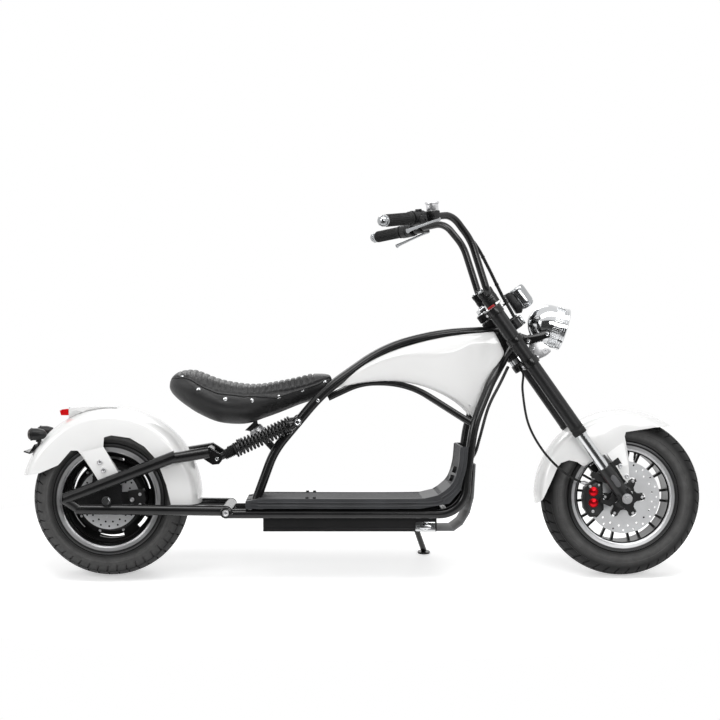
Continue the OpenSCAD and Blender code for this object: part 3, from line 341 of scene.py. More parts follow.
def both_sides(mesh):
    other = mesh.copy()
    return join(mesh, moved(other, Matrix.Scale(-1, 4, (0, 1, 0))))


def at(x, y, z):
    return Matrix.Translation((x, y, z))


def turn(degrees, axis):
    return Matrix.Rotation(math.radians(degrees), 4, axis)


def aimed(point, way):
    """Frame at a point with Z along a direction."""
    return Matrix.Translation(point) @ Vector(way).to_track_quat("Z", "Y").to_matrix().to_4x4()


def ring_of(mesh, count, material, axis="Y", seed=1, turn_by=0.0):
    """Copies a piece evenly round an axle with a Geometry Nodes tree, and gives the result as one mesh."""
    source = bpy.data.objects.new("ring_source", mesh)
    bpy.context.scene.collection.objects.link(source)
    tree = bpy.data.node_groups.new("ring_of_pieces", "GeometryNodeTree")
    tree.interface.new_socket("Geometry", in_out="OUTPUT", socket_type="NodeSocketGeometry")
    tree.interface.new_socket("Geometry", in_out="INPUT", socket_type="NodeSocketGeometry")
    number = tree.interface.new_socket("Count", in_out="INPUT", socket_type="NodeSocketInt")
    start = tree.interface.new_socket("First angle", in_out="INPUT", socket_type="NodeSocketFloat")
    nodes, links = tree.nodes, tree.links
    group_in = nodes.new("NodeGroupInput")
    group_out = nodes.new("NodeGroupOutput")
    points = nodes.new("GeometryNodePoints")
    instance = nodes.new("GeometryNodeInstanceOnPoints")
    index = nodes.new("GeometryNodeInputIndex")
    step = nodes.new("ShaderNodeMath")
    step.operation = "DIVIDE"
    step.inputs[0].default_value = 2 * math.pi
    angle = nodes.new("ShaderNodeMath")
    angle.operation = "MULTIPLY_ADD"
    vector = nodes.new("ShaderNodeCombineXYZ")
    euler = nodes.new("FunctionNodeEulerToRotation")
    real = nodes.new("GeometryNodeRealizeInstances")
    dress = nodes.new("GeometryNodeSetMaterial")
    dress.inputs["Material"].default_value = material
    links.new(group_in.outputs["Count"], points.inputs["Count"])
    links.new(group_in.outputs["Count"], step.inputs[1])
    links.new(index.outputs[0], angle.inputs[0])
    links.new(step.outputs[0], angle.inputs[1])
    links.new(group_in.outputs["First angle"], angle.inputs[2])
    links.new(angle.outputs[0], vector.inputs[axis])
    links.new(vector.outputs[0], euler.inputs[0])
    links.new(points.outputs[0], instance.inputs["Points"])
    links.new(group_in.outputs["Geometry"], instance.inputs["Instance"])
    links.new(euler.outputs[0], instance.inputs["Rotation"])
    links.new(instance.outputs[0], real.inputs[0])
    links.new(real.outputs[0], dress.inputs["Geometry"])
    links.new(dress.outputs[0], group_out.inputs[0])
    modifier = source.modifiers.new("ring", "NODES")
    modifier.node_group = tree
    modifier[number.identifier] = count
    modifier[start.identifier] = turn_by
    result = bpy.data.meshes.new_from_object(source.evaluated_get(bpy.context.evaluated_depsgraph_get()))
    bpy.data.objects.remove(source)
    return result


def set_on(mesh, spots, material, seed=1):
    """Sets a piece on a list of (point, direction, size) with a Geometry Nodes tree, as one mesh."""
    cloud = bpy.data.meshes.new("spots")
    cloud.from_pydata([s[0] for s in spots], [], [])
    way = cloud.attributes.new("way", "FLOAT_VECTOR", "POINT")
    way.data.foreach_set("vector", [c for s in spots for c in s[1]])
    size = cloud.attributes.new("size", "FLOAT", "POINT")
    size.data.foreach_set("value", [s[2] for s in spots])
    carrier = bpy.data.objects.new("spots", cloud)
    bpy.context.scene.collection.objects.link(carrier)
    source = bpy.data.objects.new("spot_piece", mesh)
    bpy.context.scene.collection.objects.link(source)
    tree = bpy.data.node_groups.new("pieces_on_spots", "GeometryNodeTree")
    tree.interface.new_socket("Geometry", in_out="OUTPUT", socket_type="NodeSocketGeometry")
    tree.interface.new_socket("Geometry", in_out="INPUT", socket_type="NodeSocketGeometry")
    piece = tree.interface.new_socket("Piece", in_out="INPUT", socket_type="NodeSocketObject")
    nodes, links = tree.nodes, tree.links
    group_in = nodes.new("NodeGroupInput")
    group_out = nodes.new("NodeGroupOutput")
    info = nodes.new("GeometryNodeObjectInfo")
    to_points = nodes.new("GeometryNodeMeshToPoints")
    instance = nodes.new("GeometryNodeInstanceOnPoints")
    ways = nodes.new("GeometryNodeInputNamedAttribute")
    ways.data_type = "FLOAT_VECTOR"
    ways.inputs["Name"].default_value = "way"
    sizes = nodes.new("GeometryNodeInputNamedAttribute")
    sizes.data_type = "FLOAT"
    sizes.inputs["Name"].default_value = "size"
    align = nodes.new("FunctionNodeAlignRotationToVector")
    align.axis = "Z"
    real = nodes.new("GeometryNodeRealizeInstances")
    dress = nodes.new("GeometryNodeSetMaterial")
    dress.inputs["Material"].default_value = material
    links.new(group_in.outputs["Geometry"], to_points.inputs["Mesh"])
    links.new(to_points.outputs[0], instance.inputs["Points"])
    links.new(group_in.outputs["Piece"], info.inputs["Object"])
    links.new(info.outputs["Geometry"], instance.inputs["Instance"])
    links.new(ways.outputs["Attribute"], align.inputs["Vector"])
    links.new(align.outputs[0], instance.inputs["Rotation"])
    links.new(sizes.outputs["Attribute"], instance.inputs["Scale"])
    links.new(instance.outputs[0], real.inputs[0])
    links.new(real.outputs[0], dress.inputs["Geometry"])
    links.new(dress.outputs[0], group_out.inputs[0])
    modifier = carrier.modifiers.new("spots", "NODES")
    modifier.node_group = tree
    modifier[piece.identifier] = source
    result = bpy.data.meshes.new_from_object(carrier.evaluated_get(bpy.context.evaluated_depsgraph_get()))
    bpy.data.objects.remove(carrier)
    bpy.data.objects.remove(source)
    return result


def cap_screw(r=1.0, tall=0.9):
    """Round-headed socket screw of radius r that stands on z = 0, sunk a little."""
    socket = [(0, tall * 0.35), (r * 0.42, tall * 0.35), (r * 0.5, tall * 0.92)]
    return lathe(socket + [(r * 0.62, tall), (r * 0.86, tall * 0.94), (r, tall * 0.7), (r, -tall * 0.4),
                           (0, -tall * 0.4)], 18, closed=False)


def hex_nut(r=1.0, tall=0.8):
    nut = lathe([(0, tall * 1.3), (r * 0.4, tall * 1.3), (r * 0.46, tall * 1.15), (r * 0.46, tall),
                 (r * 0.9, tall), (r, tall * 0.86), (r, -0.3 * r), (0, -0.3 * r)], 6, closed=False)
    washer = lathe([(0, 0.12 * r), (r * 1.25, 0.12 * r), (r * 1.3, 0.05 * r), (r * 1.3, -0.3 * r), (0, -0.3 * r)],
                   20, closed=False)
    return join(nut, washer)


def tube(points, r, sides=14, ridges=None):
    """Round mesh tube along points, closed at both ends; ridges is (length of one, height)."""
    bm = bmesh.new()
    rings = []
    frame_up = None
    run = 0.0
    for i, p in enumerate(points):
        way = (points[min(i + 1, len(points) - 1)] - points[max(i - 1, 0)]).normalized()
        if frame_up is None:
            frame_up = way.orthogonal().normalized()
        frame_up = (frame_up - way * frame_up.dot(way)).normalized()
        other = way.cross(frame_up)
        if i:
            run += (p - points[i - 1]).length
        rings.append([])
        for k in range(sides):
            a = 2 * math.pi * k / sides
            rr = r
            if ridges:
                rr = r + ridges[1] * abs(math.sin(math.pi * run / ridges[0] + a / 2)) ** 3
            rings[-1].append(bm.verts.new(p + (frame_up * math.cos(a) + other * math.sin(a)) * rr))
    for low, high in zip(rings, rings[1:]):
        for k in range(sides):
            bm.faces.new([low[k], low[(k + 1) % sides], high[(k + 1) % sides], high[k]])
    bm.faces.new(rings[0])
    bm.faces.new(rings[-1])
    return to_mesh(bm)


def smooth_path(points, steps):
    """Smooth curve through chosen points, the same rule as the frame's cables follow."""
    pts = [Vector(p) for p in points]
    out = []
    for i in range(len(pts) - 1):
        a, b, c, d = pts[max(i - 1, 0)], pts[i], pts[i + 1], pts[min(i + 2, len(pts) - 1)]
        for s in range(steps):
            t = s / steps
            out.append(0.5 * (2 * b + (c - a) * t + (2 * a - 5 * b + 4 * c - d) * t * t
                              + (3 * b - a - 3 * c + d) * t * t * t))
    return out + [pts[-1]]


# Polished and plated parts: chrome has fine hairlines and a trace of haze; ground steel is duller and is
# brushed in rings round the wheel that it turns with.


def plated(name, colour=(0.66, 0.67, 0.68), rough=0.05, haze=0.08):
    paint = Paint(name, Metallic=1.0)
    spot = paint.place()
    cloud = paint.noise(spot, 14.0, 3.0)
    hair = paint.noise(paint.place(scale=(40, 900, 900)), 1.0, 2.0)
    paint.to("Base Color", paint.ramp(cloud, (0.3, colour), (0.8, tuple(c * 0.9 for c in colour))))
    paint.to("Roughness", rough + cloud * haze + hair * 0.03)
    paint.bump(hair, 0.00005, 0.2)
    return paint.material


def wheel_centre(x, h):
    """Centre of a wheel in metres, in the parked frame."""
    return tuple(PARKED @ Vector((x, 0, h)))


def ground_steel(name, centre):
    paint = Paint(name, Metallic=1.0)
    spot = paint.place(centre, (LEAN, 0, 0))
    flat = paint.node("ShaderNodeVectorMath", {"operation": "MULTIPLY"}, {0: spot, 1: (1, 0, 1)})
    radius = paint.node("ShaderNodeVectorMath", {"operation": "LENGTH"}, {0: flat}, out=1)
    rings = paint.node("ShaderNodeTexNoise", {"noise_dimensions": "1D"}, {"W": radius, "Scale": 1400.0, "Detail": 2.0})
    cloud = paint.noise(spot, 22.0)
    paint.to("Base Color", paint.ramp(cloud, (0.3, (0.78, 0.79, 0.8)), (0.75, (0.68, 0.68, 0.69))))
    paint.to("Roughness", 0.36 + rings * 0.16)
    paint.bump(rings, 0.0001, 0.3)
    return paint.material


chrome = plated("chrome_plate")
zinc = plated("zinc_plated_screws", (0.7, 0.7, 0.71), 0.3, 0.15)



def rim_finish(name, centre):
    """Rim flange: a turned bright band, with black paint inside it and along its outer edge."""
    paint = Paint(name, Metallic=1.0)
    flat = paint.node("ShaderNodeVectorMath", {"operation": "MULTIPLY"},
                      {0: paint.place(centre, (LEAN, 0, 0)), 1: (1, 0, 1)})
    away = paint.node("ShaderNodeVectorMath", {"operation": "LENGTH"}, {0: flat}, out=1)
    haze = paint.noise(paint.place(), 14.0, 3.0)
    turned, painted, edge = (0.74, 0.74, 0.75), (0.012, 0.012, 0.0125), (0.06, 0.06, 0.061)
    paint.to("Base Color", paint.ramp(away * 4, (0.566, painted), (0.574, turned), (0.624, turned), (0.632, edge)))
    paint.to("Roughness", 0.26 + haze * 0.16)
    return paint.material


rear_flange = rim_finish("turned_flange_rear", wheel_centre(0, REAR_H))
front_flange = rim_finish("turned_flange_front", wheel_centre(WHEELBASE, FRONT_H))
dark_chrome = plated("dark_chrome", (0.42, 0.43, 0.44), 0.1, 0.1)
rear_steel = ground_steel("ground_steel_rear", wheel_centre(0, REAR_H))
front_steel = ground_steel("ground_steel_front", wheel_centre(WHEELBASE, FRONT_H))
finish_nodes(chrome, "battery_latch", "seat_hinge", "seat_damper", "rear_axle",
             "head_bearings", "master_cylinders", "levers", "fork_sliders", "front_axle", "horn")
finish_nodes(rear_flange, "rear_rim_lips")
finish_nodes(front_flange, "front_rim_lips")
finish_nodes(rear_steel, "rear_disc")
finish_nodes(front_steel, "front_disc")

# White panels: moulded plastic sprayed gloss white, with a clear coat. Slight waviness shows in the gloss.


def white_coat():
    paint = Paint("gloss_white_paint", Coat_Weight=0.7, Coat_Roughness=0.04)
    spot = paint.place()
    cloud = paint.noise(spot, 3.0, 2.0)
    fine = paint.noise(spot, 300.0, 1.0)
    paint.to("Base Color", paint.ramp(cloud, (0.3, (0.80, 0.80, 0.795)), (0.7, (0.83, 0.83, 0.825))))
    paint.to("Roughness", 0.2 + fine * 0.06)
    paint.bump(cloud + fine * 0.06, 0.0006, 0.3)
    return paint.material


gloss_white = white_coat()


def moulded(name, colour, rough=0.45, grain=900.0, depth=0.00008, spread=0.25, **constants):
    """Moulded plastic or rubber with a fine leathery grain."""
    paint = Paint(name, **constants)
    spot = paint.place()
    cloud = paint.noise(spot, 12.0, 4.0)
    grit = paint.noise(spot, grain, 2.0)
    low = tuple(c * (1 - spread) for c in colour)
    high = tuple(c * (1 + spread) for c in colour)
    paint.to("Base Color", paint.ramp(cloud, (0.3, low), (0.75, high)))
    paint.to("Roughness", rough + grit * 0.15)
    paint.bump(grit, depth, 0.6)
    return paint.material


satin_black = moulded("satin_black_plastic", (0.008, 0.008, 0.0085), 0.32, Specular_IOR_Level=0.35)
grip_rubber = moulded("black_rubber", (0.009, 0.009, 0.009), 0.5, 700.0, 0.00015, Specular_IOR_Level=0.3)
deck_grey = moulded("grey_deck_moulding", (0.034, 0.035, 0.038), 0.4, 500.0, 0.0002, Specular_IOR_Level=0.4)
finish_nodes(gloss_white, "tank_covers", "rear_fender", "front_fender")
finish_nodes(satin_black, "battery_box", "deck_caps", "rear_indicators", "bar_controls", "shock_bodies",
             "shock_springs", "fork_outers")
finish_nodes(grip_rubber, "grips", "frame_loom", "brake_hose", "bar_loom", "rear_tyre", "front_tyre", "seat")
finish_nodes(deck_grey, "deck_cover")
guard_grey = moulded("grey_guard_paint", (0.11, 0.112, 0.115), 0.34, 300.0)
finish_nodes(guard_grey, "front_guard")


def lens(name, colour, glow=0.0):
    paint = Paint(name, Roughness=0.04, IOR=1.49)
    paint.shader.inputs["Transmission Weight"].default_value = 0.85
    spot = paint.place()
    flutes = paint.noise(spot, 60.0, 1.0)
    paint.to("Base Color", paint.ramp(flutes, (0.2, colour), (0.8, tuple(c * 0.82 for c in colour))))
    paint.bump(flutes, 0.0003, 0.25)
    return paint.material


red_lens = lens("red_lamp_lens", (0.75, 0.01, 0.012))
clear_lens = lens("clear_lamp_glass", (0.95, 0.97, 0.98))
finish_nodes(red_lens, "tail_light")
finish_nodes(clear_lens, "headlight_lens")
red_anodised = plated("red_anodised_caps", (0.62, 0.012, 0.02), 0.22, 0.12)
finish_nodes(red_anodised, "caliper_caps")
finish_nodes(chrome, "headlight_shell", "speedometer")

# Frame bolts: plated socket screws and nuts at the shock eyes, the swingarm's pivot, the damper's bracket and
# the seat's hinge. Each is set on the outer face of the tube or lug that it holds.


def both_ways(spots):
    """The same spots on both sides, facing out; each is (x, y, z, size)."""
    out = []
    for x, y, z, size in spots:
        out.append(((x, -y, z), (0, -1, 0), size))
        out.append(((x, y, z), (0, 1, 0), size))
    return out


frame_screws = set_on(cap_screw(), both_ways([(571, 132, 474, 11.5), (329, 131.5, 364, 7), (632, 89.5, 538, 6),
                                              (501, 66, 384, 5)]), chrome)
finish_piece("frame_screws", frame_screws, Matrix.Identity(4), "frame", chrome)
pivot_rings = set_on(lathe([(0, -0.3), (1.7, -0.3), (1.7, 0.25), (1.5, 0.4), (0, 0.4)], 32, False),
                     both_ways([(358, 170, 205, 10)]), gloss_black)
finish_piece("pivot_rings", pivot_rings, Matrix.Identity(4), "frame", gloss_black)
pivot_screws = set_on(cap_screw(), both_ways([(358, 174, 205, 10)]), zinc)
finish_piece("pivot_screws", pivot_screws, Matrix.Identity(4), "frame", zinc)

# Tank covers: thin moulded panels that fill the frame between the spine, the tank rails and the cradle tubes,
# and come to a point where those meet. A soft wavy ridge runs along each; they thin out beside the fork.
COVER_IN = 48 + 14 + 3.4
# Station: point on the top edge, point on the lower edge, share of the way down to the ridge, how far the ridge
# stands out, and how much of that the belly keeps
COVER_STATIONS = [
    (675, 571, 673, 568.1, 0.4, 2, 0.7), (702, 594, 701, 578.5, 0.35, 7, 0.8),
    (734, 621, 734, 585.4, 0.27, 12, 0.84), (771, 645, 771, 592.3, 0.22, 17, 0.86),
    (809, 666, 809, 595.7, 0.2, 21, 0.86), (848, 684, 848, 597.2, 0.19, 25, 0.85),
    (886, 698, 886, 594.7, 0.21, 27, 0.84), (926, 710, 926, 587.8, 0.25, 28, 0.84),
    (964, 720, 963, 577.5, 0.28, 29, 0.85), (1002, 728, 1000, 562.7, 0.3, 29, 0.88),
    (1034, 734, 1030, 548, 0.28, 28, 0.86), (1059, 737, 1055, 532.2, 0.23, 26.5, 0.78),
    (1080, 740, 1076, 516.4, 0.17, 24.5, 0.68), (1098, 742, 1093, 498.7, 0.13, 22, 0.58),
    (1113, 743, 1102, 485.9, 0.12, 20, 0.5), (1125, 744, 1113, 505.6, 0.14, 18, 0.48),
    (1135, 745, 1124, 544, 0.17, 16, 0.5), (1145, 746, 1140, 584.4, 0.21, 13, 0.55),
    (1154, 746, 1160, 619.9, 0.29, 10.2, 0.62), (1162, 747, 1181, 650.4, 0.4, 9, 0.7),
    (1170, 747, 1203, 680.9, 0.55, 8, 0.75)]


def cover_mesh():
    bm = bmesh.new()
    rows = []
    for tx, tz, lx, lz, ridge, out, belly in COVER_STATIONS:
        skin = [(0.0, 0.0), (0.012, 0.35), (ridge * 0.45, 0.72), (ridge * 0.85, 0.96), (ridge, 1.0),
                (ridge + 0.05, 0.95), (ridge + 0.14, 0.5 + belly * 0.5), (ridge * 0.5 + 0.5, belly),
                (0.84, belly * 0.92), (0.95, belly * 0.7), (0.99, belly * 0.4), (1.0, 0.0)]
        rows.append([bm.verts.new((tx + (lx - tx) * t, -COVER_IN - out * share, tz + (lz - tz) * t)) for t, share in skin]
                    + [bm.verts.new((tx + (lx - tx) * t, -COVER_IN, tz + (lz - tz) * t)) for t in (0.75, 0.25)])
    n = len(rows[0])
    for a, b in zip(rows, rows[1:]):
        for k in range(n):
            bm.faces.new([a[k], a[(k + 1) % n], b[(k + 1) % n], b[k]])
    bm.faces.new(rows[0])
    bm.faces.new(list(reversed(rows[-1])))
    crease = bm.edges.layers.float.new("crease_edge")
    for e in bm.edges:
        if all(abs(v.co.y + COVER_IN) < 0.01 for v in e.verts):
            e[crease] = 0.8
    return to_mesh(bm)


def subdivided(mesh, levels=2):
    obj = bpy.data.objects.new("subdivide", mesh)
    bpy.context.scene.collection.objects.link(obj)
    modifier = obj.modifiers.new("smooth", "SUBSURF")
    modifier.levels = modifier.render_levels = levels
    result = bpy.data.meshes.new_from_object(obj.evaluated_get(bpy.context.evaluated_depsgraph_get()))
    bpy.data.objects.remove(obj)
    return result


covers = finish_piece("tank_cover_skins", both_sides(subdivided(cover_mesh(), 2)), Matrix.Identity(4), "frame",
                      gloss_white, 60)
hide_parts("tank_covers")
cover_screws = set_on(cap_screw(), both_ways([(716, 71, 594, 3), (1094, 78, 524, 3)]), zinc)
finish_piece("cover_screws", cover_screws, Matrix.Identity(4), "frame", zinc)

# Deck: a grey moulding with a ribbed top that curves up in front, two grooves along each side and a seam
# behind the feet. Its screws and the charge-port cap are on its right side.
DECK_HALF = 134.0
DOWN_X = WHEELBASE - 458
deck_top = [(452, 242), (940, 242), (1000, 256), (1040, 290), (1058, 340), (1064, 398)]


def along_deck(offset, start=0.0, end=1.0, steps=90):
    """Points along the deck's top line, raised by offset from it."""
    pts = smooth_path([(x, 0, z) for x, z in deck_top], 24)
    lengths = [0.0]
    for p, q in zip(pts, pts[1:]):
        lengths.append(lengths[-1] + (q - p).length)
    out = []
    for i in range(steps + 1):
        s = (start + (end - start) * i / steps) * lengths[-1]
        k = max(j for j in range(len(lengths)) if lengths[j] <= s + 1e-6)
        k = min(k, len(pts) - 2)
        f = (s - lengths[k]) / max(lengths[k + 1] - lengths[k], 1e-6)
        p = pts[k].lerp(pts[k + 1], f)
        w = (pts[k + 1] - pts[k]).normalized()
        out.append(p + Vector((-w.z, 0, w.x)) * offset)
    return out


def deck_rib(y0, y1, height):
    """Long rubber rib that follows the deck's top."""
    bm = bmesh.new()
    low, high = along_deck(-1.0), along_deck(height)
    rows = []
    for a, b in zip(low, high):
        rows.append([bm.verts.new((a.x, y0, a.z)), bm.verts.new((b.x, y0 + 1.5, b.z)),
                     bm.verts.new((b.x, y1 - 1.5, b.z)), bm.verts.new((a.x, y1, a.z))])
    for a, b in zip(rows, rows[1:]):
        for k in range(4):
            bm.faces.new([a[k], a[(k + 1) % 4], b[(k + 1) % 4], b[k]])
    bm.faces.new(rows[0])
    bm.faces.new(list(reversed(rows[-1])))
    return to_mesh(bm)


rib_count = 11
ribs = [deck_rib(-110 + k * 20.0, -110 + k * 20.0 + 12, 2.2) for k in range(rib_count)]
ribs += [deck_rib(-132, -116, 3.0), deck_rib(116, 132, 3.0)]
finish_piece("deck_ribs", join(*ribs), Matrix.Identity(4), "frame", deck_grey)
side_beads = []
for drop, thick in ((-9, 2.2), (-19, 2.2)):
    line = [p + Vector((0, -DECK_HALF, 0)) for p in along_deck(drop)]
    side_beads.append(tube(line, thick, 8))
finish_piece("deck_side_beads", both_sides(join(*side_beads)), Matrix.Identity(4), "frame", deck_grey)
deck_screws = set_on(cap_screw(), [((x, way * 126, 244.6), (0, 0, 1), 5) for x in (600, 622) for way in (-1, 1)],
                     grip_rubber)
finish_piece("deck_screws", deck_screws, Matrix.Identity(4), "frame", grip_rubber)

# Battery box: a black folded-steel case with a lid flange and corner screws, pulled out by a plated
# turn latch at its front right end.
box_low, box_half = 142.0, 96.0
case_parts = [plate([(470, box_low + 4), (966, box_low + 4), (966, box_low + 10), (470, box_low + 10)], -box_half - 2,
                    -box_half + 1, 0.8)]
case_parts.append(set_on(cap_screw(), [((x, -box_half, 196), (0, -1, 0), 3) for x in (492, 566, 640, 900)], satin_black))
finish_piece("battery_ribs", both_sides(join(*case_parts)), Matrix.Identity(4), "frame", satin_black)
latch = [
    plate([(927, 145), (927, 169), (932, 171), (985, 171), (989, 168), (989, 146), (985, 143), (932, 143)],
          -box_half - 4, -box_half - 0.3, 1.0),
    moved(lathe([(0, 12.6), (8, 12.6), (10.6, 10), (11, 5), (11, 3), (0, 3)], 28, False), at(957, -box_half, 157),
          turn(90, "X")),
    plate([(939, 153), (939, 161), (946, 163), (968, 163), (975, 160), (975, 154), (968, 151), (946, 151)],
          -box_half - 19.5, -box_half - 12, 2.5),
    moved(lathe([(0, 7), (3, 7), (3.6, 5.5), (3.6, 3), (0, 3)], 14, False), at(933, -box_half, 157), turn(90, "X")),
    moved(lathe([(0, 7), (3, 7), (3.6, 5.5), (3.6, 3), (0, 3)], 14, False), at(982, -box_half, 157), turn(90, "X"))]
latch_obj = finish_piece("battery_turn_latch", join(*latch), Matrix.Identity(4), "frame", chrome)
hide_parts("battery_latch")

# Tyres: black rubber carcasses with raised tread blocks. Blocks of one pitch are made once and copied round
# the axle; the sidewall has moulded rings and shoulder bars.


BEAD_R, FLANGE_R = 152.0, 168.0


def tyre_rubber(name, centre, wall_r):
    """Rubber whose sidewall band is painted paler, partly dust and partly a painted sheen; the tread keeps the plain
    dark rubber.
    """
    paint = Paint(name, Specular_IOR_Level=0.26)
    spot = paint.place()
    cloud = paint.noise(spot, 7.0, 4.0)
    grit = paint.noise(spot, 1100.0, 2.0)
    dust = paint.noise(spot, 30.0, 5.0, 0.7)
    flat = paint.node("ShaderNodeVectorMath", {"operation": "MULTIPLY"},
                      {0: paint.place(centre, (LEAN, 0, 0)), 1: (1, 0, 1)})
    away = paint.node("ShaderNodeVectorMath", {"operation": "LENGTH"}, {0: flat}, out=1)
    # Painted sheen: by radius, the band between the flange and the tread is painted paler; the dust noise only breaks
    # it up.
    wall = paint.ramp(away * 2, ((FLANGE_R + 2) / 500, 0.1), ((FLANGE_R + 20) / 500, 1.0), ((wall_r - 14) / 500, 0.7),
                      (wall_r / 500, 0.05))
    rubber = paint.ramp(cloud, (0.3, (0.004, 0.004, 0.0042)), (0.75, (0.009, 0.009, 0.0092)))
    # The pale grey the sidewall band takes: dust in patches, and a painted sheen.
    dust_and_sheen = paint.blend(paint.ramp(dust, (0.35, 0.55), (0.85, 1.0)), rubber, (0.1, 0.099, 0.098, 1))
    paint.to("Base Color", paint.blend(wall, rubber, dust_and_sheen))
    paint.to("Roughness", 0.5 + grit * 0.22)
    paint.bump(grit + dust * 0.4, 0.00025, 0.5)
    return paint.material


def crown_at(share, r, width, crown_r):
    """Point on the crown as (width, radius), share from -1 to 1."""
    swing = math.asin((width / 2 - 15) / crown_r)
    a = swing * share
    return crown_r * math.sin(a), r - crown_r + crown_r * math.cos(a)


def wheel_turned(profile, sides=144):
    """Turns a closed profile of (width, radius) about the Y axis."""
    bm = bmesh.new()
    rings = []
    for y, r in profile:
        rings.append([bm.verts.new((r * math.cos(2 * math.pi * k / sides), y, r * math.sin(2 * math.pi * k / sides)))
                      for k in range(sides)])
    for low, high in zip(rings, rings[1:] + rings[:1]):
        for k in range(sides):
            bm.faces.new([low[k], low[(k + 1) % sides], high[(k + 1) % sides], high[k]])
    return to_mesh(bm)


def carcass(r, width, crown_r, rim_half, groove):
    swing = math.asin((width / 2 - 15) / crown_r)
    drop = crown_r - crown_r * math.cos(swing)
    half = [(rim_half - 4.6, BEAD_R), (rim_half - 0.6, FLANGE_R - 2.7), (rim_half + 3.4, FLANGE_R + 1.5),
            (rim_half + 5.0, FLANGE_R + 5), (rim_half + 4.2, FLANGE_R + 8)]
    wall = [(width / 2 - 4, BEAD_R + 30), (width / 2 - 2.6, BEAD_R + 33), (width / 2 - 2.0, BEAD_R + 34),
            (width / 2 - 1.2, BEAD_R + 40), (width / 2 - 2.2, r - drop - 24), (width / 2 - 1.0, r - drop - 22),
            (width / 2 - 2.4, r - drop - 16), (width / 2 - 8.6, r - drop - 5)]
    crown = []
    for i in range(-12, 13):
        y, rr = crown_at(i / 12, r - groove, width, crown_r)
        crown.append((y * 0.995, rr))
    side_a = half + wall
    return ([(-y, rr) for y, rr in side_a] + crown + [(y, rr) for y, rr in reversed(side_a)])


def tread_pitch(r, width, crown_r, count, groove, bands, skew):
    """Blocks of one pitch; each band is (share from, share to, gap in degrees at each end, lead)."""
    bm = bmesh.new()
    pitch = 360.0 / count
    for s0, s1, gap, lead in bands:
        steps, across = 5, 5
        grid = {}
        for level in (0, 1):
            for i in range(steps + 1):
                for j in range(across + 1):
                    share = s0 + (s1 - s0) * j / across
                    y, rr = crown_at(max(-1, min(1, share)), r - (0 if level else groove + 0.6), width, crown_r)
                    if abs(share) > 1:
                        y += math.copysign((abs(share) - 1) * 60, share)
                        rr -= (abs(share) - 1) * 95
                    trim = 0.0 if level == 0 else 0.18
                    a = gap + trim + (pitch - 2 * gap - 2 * trim) * i / steps + lead + skew * abs(share) ** 1.5
                    a = math.radians(a)
                    grid[level, i, j] = bm.verts.new((rr * math.cos(a), y, rr * math.sin(a)))
        for i in range(steps):
            for j in range(across):
                bm.faces.new([grid[1, i, j], grid[1, i + 1, j], grid[1, i + 1, j + 1], grid[1, i, j + 1]])
                bm.faces.new([grid[0, i, j], grid[0, i, j + 1], grid[0, i + 1, j + 1], grid[0, i + 1, j]])
        for i in range(steps):
            bm.faces.new([grid[0, i, 0], grid[0, i + 1, 0], grid[1, i + 1, 0], grid[1, i, 0]])
            bm.faces.new([grid[1, i, across], grid[1, i + 1, across], grid[0, i + 1, across], grid[0, i, across]])
        for j in range(across):
            bm.faces.new([grid[0, 0, j], grid[1, 0, j], grid[1, 0, j + 1], grid[0, 0, j + 1]])
            bm.faces.new([grid[0, steps, j], grid[0, steps, j + 1], grid[1, steps, j + 1], grid[1, steps, j]])
    return to_mesh(bm)


rear_rubber = tyre_rubber("tyre_rubber_rear", wheel_centre(0, REAR_H), 222)
rear_bands = [(-1.14, -0.72, 0.42, 0.0), (-0.68, -0.3, 0.45, 1.6), (-0.25, 0.25, 0.2, 0.8), (0.3, 0.68, 0.45, 1.6),
              (0.72, 1.14, 0.42, 0.0)]
rear_tread = ring_of(tread_pitch(238.4, 215, 150, 46, 5.0, rear_bands, 3.0), 46, rear_rubber)
rear_tyre = join(wheel_turned(carcass(238.5, 215, 150, 92, 5.0)), rear_tread)
rear_tyre = finish_piece("rear_tyre_treaded", rear_tyre, REAR_WHEEL, "rear_wheel", rear_rubber, 35)
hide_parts("rear_tyre")
front_rubber = tyre_rubber("tyre_rubber_front", wheel_centre(WHEELBASE, FRONT_H), 216)
front_bands = [(-1.16, -0.62, 0.5, 0.0), (-0.56, -0.14, 0.5, 2.0), (-0.09, 0.09, 0.0, 0.0), (0.14, 0.56, 0.5, 2.0),
               (0.62, 1.16, 0.5, 0.0)]
front_tread = ring_of(tread_pitch(243.4, 130, 72, 44, 4.5, front_bands, 5.0), 44, front_rubber)
front_tyre = join(wheel_turned(carcass(243.5, 130, 72, 52, 4.5)), front_tread)
front_tyre = finish_piece("front_tyre_treaded", front_tyre, FRONT_WHEEL, "front_wheel", front_rubber, 35)
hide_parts("front_tyre")

# Rear wheel: cast hub-motor wheel, painted satin black, with cover screws, cooling ribs on the cover and a
# valve. Its drilled brake disc is on the right.


def radial_rib(r0, r1, y, half, tall):
    """Thin rib along a radius on a wheel's right face, standing out from y."""
    return plate([(r0, -half), (r1, -half), (r1, half), (r0, half)], -y - tall, -y + 1, 0.6)


